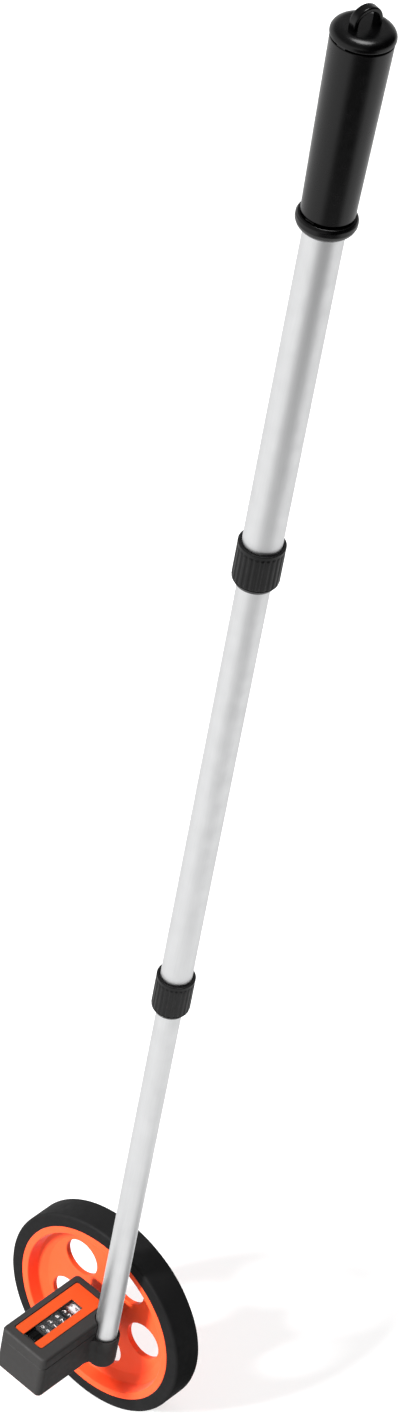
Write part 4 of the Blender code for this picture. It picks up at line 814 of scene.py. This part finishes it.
def build_label():
    x0, x1 = LABEL_X0 + LABEL_SHRINK, LABEL_X1 - LABEL_SHRINK
    y0, y1 = LABEL_Y0 + LABEL_SHRINK, LABEL_Y1 - LABEL_SHRINK
    corners = [(x0, y0), (x1, y0), (x1, WINDOW_Y0), (WINDOW_X0, WINDOW_Y0),
               (WINDOW_X0, WINDOW_Y1), (x1, WINDOW_Y1), (x1, y1), (x0, y1)]
    radii = [LABEL_CORNER_R, LABEL_CORNER_R, SLOT_END_R, SLOT_CORNER_R,
             SLOT_CORNER_R, SLOT_END_R, LABEL_CORNER_R, LABEL_CORNER_R]
    low, high = span("label_plate", Z)
    bm = prism(rounded(corners, radii), low, high)
    middle = (low + high) / 2 * MM
    bevel(bm, [edge for edge in bm.edges if all(vert.co.z > middle for vert in edge.verts)], LABEL_BEVEL)
    plate = made(bm, AXLE)
    plate.visible_glossy = False
    finish(plate, "orange_plate", "lower_section", "label", ["label_plate"], SHARP_CUT)


def build_lens():
    bm = block(LENS_X0, LENS_X1, LENS_Y0, LENS_Y1, *span("window_lens", Z))
    bevel(bm, bm.edges[:], LENS_BEVEL)
    finish(made(bm, AXLE), "lens_pane", "lower_section", "clear", ["window_lens"], SHARP_CUT)


# Counter

def digit_bm(text):
    """One digit of Blender's own font as a thin flat solid, centred, in mm, cut into bands that can bend."""
    curve = bpy.data.curves.new("digit", "FONT")
    curve.body = text
    curve.resolution_u = DIGIT_CURVE_STEPS
    # One to each side, which the scale below turns into DIGIT_PROUD
    curve.extrude = 1
    obj = bpy.data.objects.new("digit", curve)
    bpy.context.scene.collection.objects.link(obj)
    bpy.context.view_layer.update()
    mesh = bpy.data.meshes.new_from_object(obj.evaluated_get(bpy.context.evaluated_depsgraph_get()))
    bpy.data.objects.remove(obj, do_unlink=True)
    bm = bmesh.new()
    bm.from_mesh(mesh)
    xs = [vert.co.x for vert in bm.verts]
    ys = [vert.co.y for vert in bm.verts]
    size = DIGIT_H / (max(ys) - min(ys))
    bmesh.ops.translate(bm, vec=(-(max(xs) + min(xs)) / 2, -(max(ys) + min(ys)) / 2, 0), verts=bm.verts)
    bmesh.ops.scale(bm, vec=(size * DIGIT_WIDTH_SHARE, size, DIGIT_PROUD), verts=bm.verts)
    bmesh.ops.remove_doubles(bm, verts=bm.verts, dist=WELD)
    for k in range(1 - DIGIT_BANDS // 2, DIGIT_BANDS // 2):
        bmesh.ops.bisect_plane(bm, geom=bm.verts[:] + bm.edges[:] + bm.faces[:], dist=BAND_TOLERANCE,
                               plane_co=(0, k * DIGIT_H / DIGIT_BANDS, 0), plane_no=(0, 1, 0))
    return bm


def build_drums():
    """Ten digits round each drum. A reading between two numbers shows both of them."""
    for i, reading in enumerate(DRUM_READINGS):
        body = f"drum_{i + 1}"
        middle = span(f"digit_drum_{i + 1}", X, COUNTER)[0] + DRUM_RING_W + DRUM_BAND_W / 2
        digits = bmesh.new()
        for number in range(DIGITS):
            flat = digit_bm(str(number))
            for vert in flat.verts:
                angle = (number - reading) * 2 * pi / DIGITS + vert.co.y / DRUM_R
                radius = (DRUM_R + vert.co.z) * MM
                vert.co = Vector(((middle - vert.co.x) * MM, -radius * sin(angle), radius * cos(angle)))
            piece = bpy.data.meshes.new("digit")
            flat.to_mesh(piece)
            flat.free()
            digits.from_mesh(piece)
        look, slot = ("ink_black", "drum_black") if i == 0 else ("ink_white", "drum_white")
        finish(made(digits, COUNTER), f"{body}_digits", body, look, (), SHARP_CUT, False)


def build_reset():
    low, high = span("reset_wheel", X, COUNTER)
    profile = [(KNOB_BORE_R, high), (KNOB_R, high), (KNOB_R, low), (KNOB_BORE_R, low)]
    profile = rounded(profile, [FINE_EDGE, KNOB_EDGE_R, KNOB_EDGE_R, FINE_EDGE], SOFT)

    def ribbed(i, angle):
        radius = profile[i][0]
        if radius < KNOB_R / 2:
            return radius
        return radius - KNOB_RIB_DEPTH * (1 - min(1.0, wave(KNOB_RIBS, angle) * KNOB_RIB_STEEPNESS))

    knob = made(turned(profile, STEPS_PER_RIB * KNOB_RIBS, True, ribbed), COUNTER, X)
    finish(knob, "thumb_wheel", "reset", "knob", ["reset_wheel"], SHARP_RIBS)


def finish_cad():
    """Give every solid of the part its material."""
    slot_of = {entry["node"]: entry["material_slot"] for entry in frame["record"]["subparts"]}
    for name, node in nodes.items():
        material = MAT[CAD_LOOKS[slot_of[name]]]
        if not node.material_slots:
            node.data.materials.append(material)
        for slot in node.material_slots:
            slot.material = material


# Stage, lamps and camera

def build_stage():
    """A pale floor. In gloss it shows painted reflections: a painted highlight that swings round the pole, a
    painted dim far side and a painted shadow round the wheel's foot.
    """
    half = FLOOR_HALF
    mesh = bpy.data.meshes.new("floor")
    mesh.from_pydata([(-half, -half, 0), (half, -half, 0), (half, half, 0), (-half, half, 0)], [],
                     [(0, 1, 2, 3)])
    floor = bpy.data.objects.new("floor", mesh)
    floor.location.z = -FLOOR_DROP
    bpy.context.scene.collection.objects.link(floor)
    n = Nodes("pale_floor")
    n.shader.inputs["Base Color"].default_value = (FLOOR_BASE, FLOOR_BASE, FLOOR_BASE, 1)
    n.shader.inputs["Roughness"].default_value = FLOOR_ROUGH
    n.shader.inputs["Specular IOR Level"].default_value = 0.0
    split = n.add("ShaderNodeSeparateXYZ")
    n.link(n.coords, split.inputs[0])

    def offset(centre):
        return [n.math("SUBTRACT", split.outputs[axis], centre[axis]) for axis in (X, Y)]

    def length(dx, dy):
        return n.math("SQRT", n.math("ADD", n.math("MULTIPLY", dx, dx), n.math("MULTIPLY", dy, dy)), 0)

    def facing(dx, dy, away, turn):
        along = n.math("ADD", n.math("MULTIPLY", dx, cos(turn)), n.math("MULTIPLY", dy, sin(turn)))
        return n.math("DIVIDE", along, away)

    dx, dy = offset(POLE)
    away = length(dx, dy)
    # Painted highlight: the floor's brightness in gloss swings round the pole and is brightest at one turn
    painted_sheen = n.ramp(facing(dx, dy, away, PAINTED_SHEEN_TURN), PAINTED_SHEEN_MEAN - PAINTED_SHEEN_SWING, PAINTED_SHEEN_MEAN + PAINTED_SHEEN_SWING,
                   -1, 1)
    # Painted dark reflection: in gloss the floor dims on the far side of the pole
    far = n.math("MULTIPLY", n.ramp(facing(dx, dy, away, PAINTED_DIM_TURN), 0, 1, *PAINTED_DIM_SIDE, smooth=True),
                 n.ramp(away, 0, 1, *PAINTED_DIM_END, smooth=True))
    # Painted shadow: in gloss the floor darkens round the wheel's foot
    foot = n.ramp(length(*offset(PAINTED_FOOT_SHADOW_AT)), PAINTED_DIM_LEVEL, 1, *PAINTED_FOOT_SHADOW_END, smooth=True)
    # Painted reflection: the floor as gloss sees it, with its painted highlight, painted dim far side and painted
    # foot shadow
    bright = n.math("MULTIPLY", n.math("MULTIPLY", painted_sheen, n.ramp(far, 1, PAINTED_DIM_LEVEL, 0, 1)), foot)
    painted_reflection = n.add("ShaderNodeEmission")
    n.link(bright, painted_reflection.inputs["Strength"])
    glow = n.add("ShaderNodeEmission", Strength=FLOOR_GLOW)
    lit = n.add("ShaderNodeAddShader")
    path = n.add("ShaderNodeLightPath")
    seen = n.math("MAXIMUM", path.outputs["Is Camera Ray"], path.outputs["Is Transmission Ray"])
    in_view = n.add("ShaderNodeMixShader")
    in_gloss = n.add("ShaderNodeMixShader")
    n.link(n.shader.outputs["BSDF"], lit.inputs[0])
    n.link(glow.outputs[0], lit.inputs[1])
    n.link(seen, in_view.inputs[0])
    n.link(n.shader.outputs["BSDF"], in_view.inputs[1])
    n.link(lit.outputs[0], in_view.inputs[2])
    n.link(path.outputs["Is Glossy Ray"], in_gloss.inputs[0])
    n.link(in_view.outputs[0], in_gloss.inputs[1])
    n.link(painted_reflection.outputs[0], in_gloss.inputs[2])
    n.link(in_gloss.outputs[0], n.tree.nodes["Material Output"].inputs["Surface"])
    mesh.materials.append(n.material)


def build_world():
    """White for the camera. The object sees a studio that is dim overhead and dark on the far right."""
    world = bpy.data.worlds.new("studio")
    world.use_nodes = True
    bpy.context.scene.world = world
    tree = world.node_tree

    def add(kind, **values):
        node = tree.nodes.new(kind)
        for key, value in values.items():
            setattr(node, key, value)
        return node

    def ramp(low, high, to_low, to_high):
        node = add("ShaderNodeMapRange", interpolation_type="SMOOTHSTEP")
        for key, value in zip(("From Min", "From Max", "To Min", "To Max"), (low, high, to_low, to_high)):
            node.inputs[key].default_value = value
        return node

    sky = tree.nodes["Background"]
    sky.inputs["Color"].default_value = (1, 1, 1, 1)
    coords, split = add("ShaderNodeTexCoord"), add("ShaderNodeSeparateXYZ")
    height = ramp(*SKY_BAND, SKY_LOW, SKY_HIGH)
    facing = add("ShaderNodeVectorMath", operation="DOT_PRODUCT")
    facing.inputs[1].default_value = (cos(SKY_DARK_TURN), sin(SKY_DARK_TURN), 0)
    side = ramp(*SKY_DARK_SIDE, 1, SKY_DARK)
    level = add("ShaderNodeMath", operation="MULTIPLY")
    shown = add("ShaderNodeBackground")
    shown.inputs["Color"].default_value = (1, 1, 1, 1)
    path = add("ShaderNodeLightPath")
    seen = add("ShaderNodeMath", operation="MAXIMUM")
    mix = add("ShaderNodeMixShader")
    for out, into in (
            (coords.outputs["Generated"], split.inputs[0]),
            (split.outputs[Z], height.inputs["Value"]),
            (coords.outputs["Generated"], facing.inputs[0]),
            (facing.outputs["Value"], side.inputs["Value"]),
            (height.outputs["Result"], level.inputs[0]),
            (side.outputs["Result"], level.inputs[1]),
            (level.outputs[0], sky.inputs["Strength"]),
            (path.outputs["Is Camera Ray"], seen.inputs[0]),
            (path.outputs["Is Transmission Ray"], seen.inputs[1]),
            (seen.outputs[0], mix.inputs[0]),
            (sky.outputs[0], mix.inputs[1]),
            (shown.outputs[0], mix.inputs[2]),
            (mix.outputs[0], tree.nodes["World Output"].inputs["Surface"])):
        tree.links.new(out, into)


def sun(name, turn, rise, softness, strength, lit=()):
    """A far soft lamp at a turn from the X axis and a rise from level, kept to the objects in lit."""
    light = bpy.data.lights.new(name, "SUN")
    light.angle = softness
    light.energy = strength
    obj = bpy.data.objects.new(name, light)
    bpy.context.scene.collection.objects.link(obj)
    direction = Vector((cos(turn) * cos(rise), sin(turn) * cos(rise), sin(rise)))
    obj.location = direction
    obj.rotation_euler = direction.to_track_quat("Z", "Y").to_euler()
    if lit:
        group = bpy.data.collections.new(name)
        for piece in lit:
            group.objects.link(piece)
        obj.light_linking.receiver_collection = group


def build_camera():
    data = bpy.data.cameras.new("photo_camera")
    data.sensor_fit = "VERTICAL"
    data.sensor_height = SENSOR_H
    data.sensor_width = SENSOR_H
    data.lens = LENS
    data.clip_end = 2 * FLOOR_HALF
    camera = bpy.data.objects.new("photo_camera", data)
    bpy.context.scene.collection.objects.link(camera)
    turn = Matrix((CAMERA_RIGHT, CAMERA_UP, CAMERA_BACK)).transposed().to_4x4()
    camera.matrix_world = Matrix.Translation(AXLE + CAMERA_AT * MM) @ turn
    bpy.context.scene.camera = camera


build_tyre()
build_disc()
build_axle()
build_washers()
build_nut()
build_tubes()
build_collars()
build_grip()
build_lower_casing()
build_upper_casing()
build_label()
build_lens()
build_drums()
build_reset()
finish_cad()
build_stage()
build_world()
near_wheel = [obj for obj in bpy.data.objects if obj.type == "MESH" and not obj.hide_render
              and obj.name.split("_")[0] not in UNLIT]
sun("key_lamp", KEY_TURN, KEY_RISE, KEY_SOFT, KEY_STRENGTH, near_wheel)
sun("top_lamp", TOP_TURN, TOP_RISE, TOP_SOFT, TOP_STRENGTH)
build_camera()
bpy.context.scene.view_settings.view_transform = "Standard"
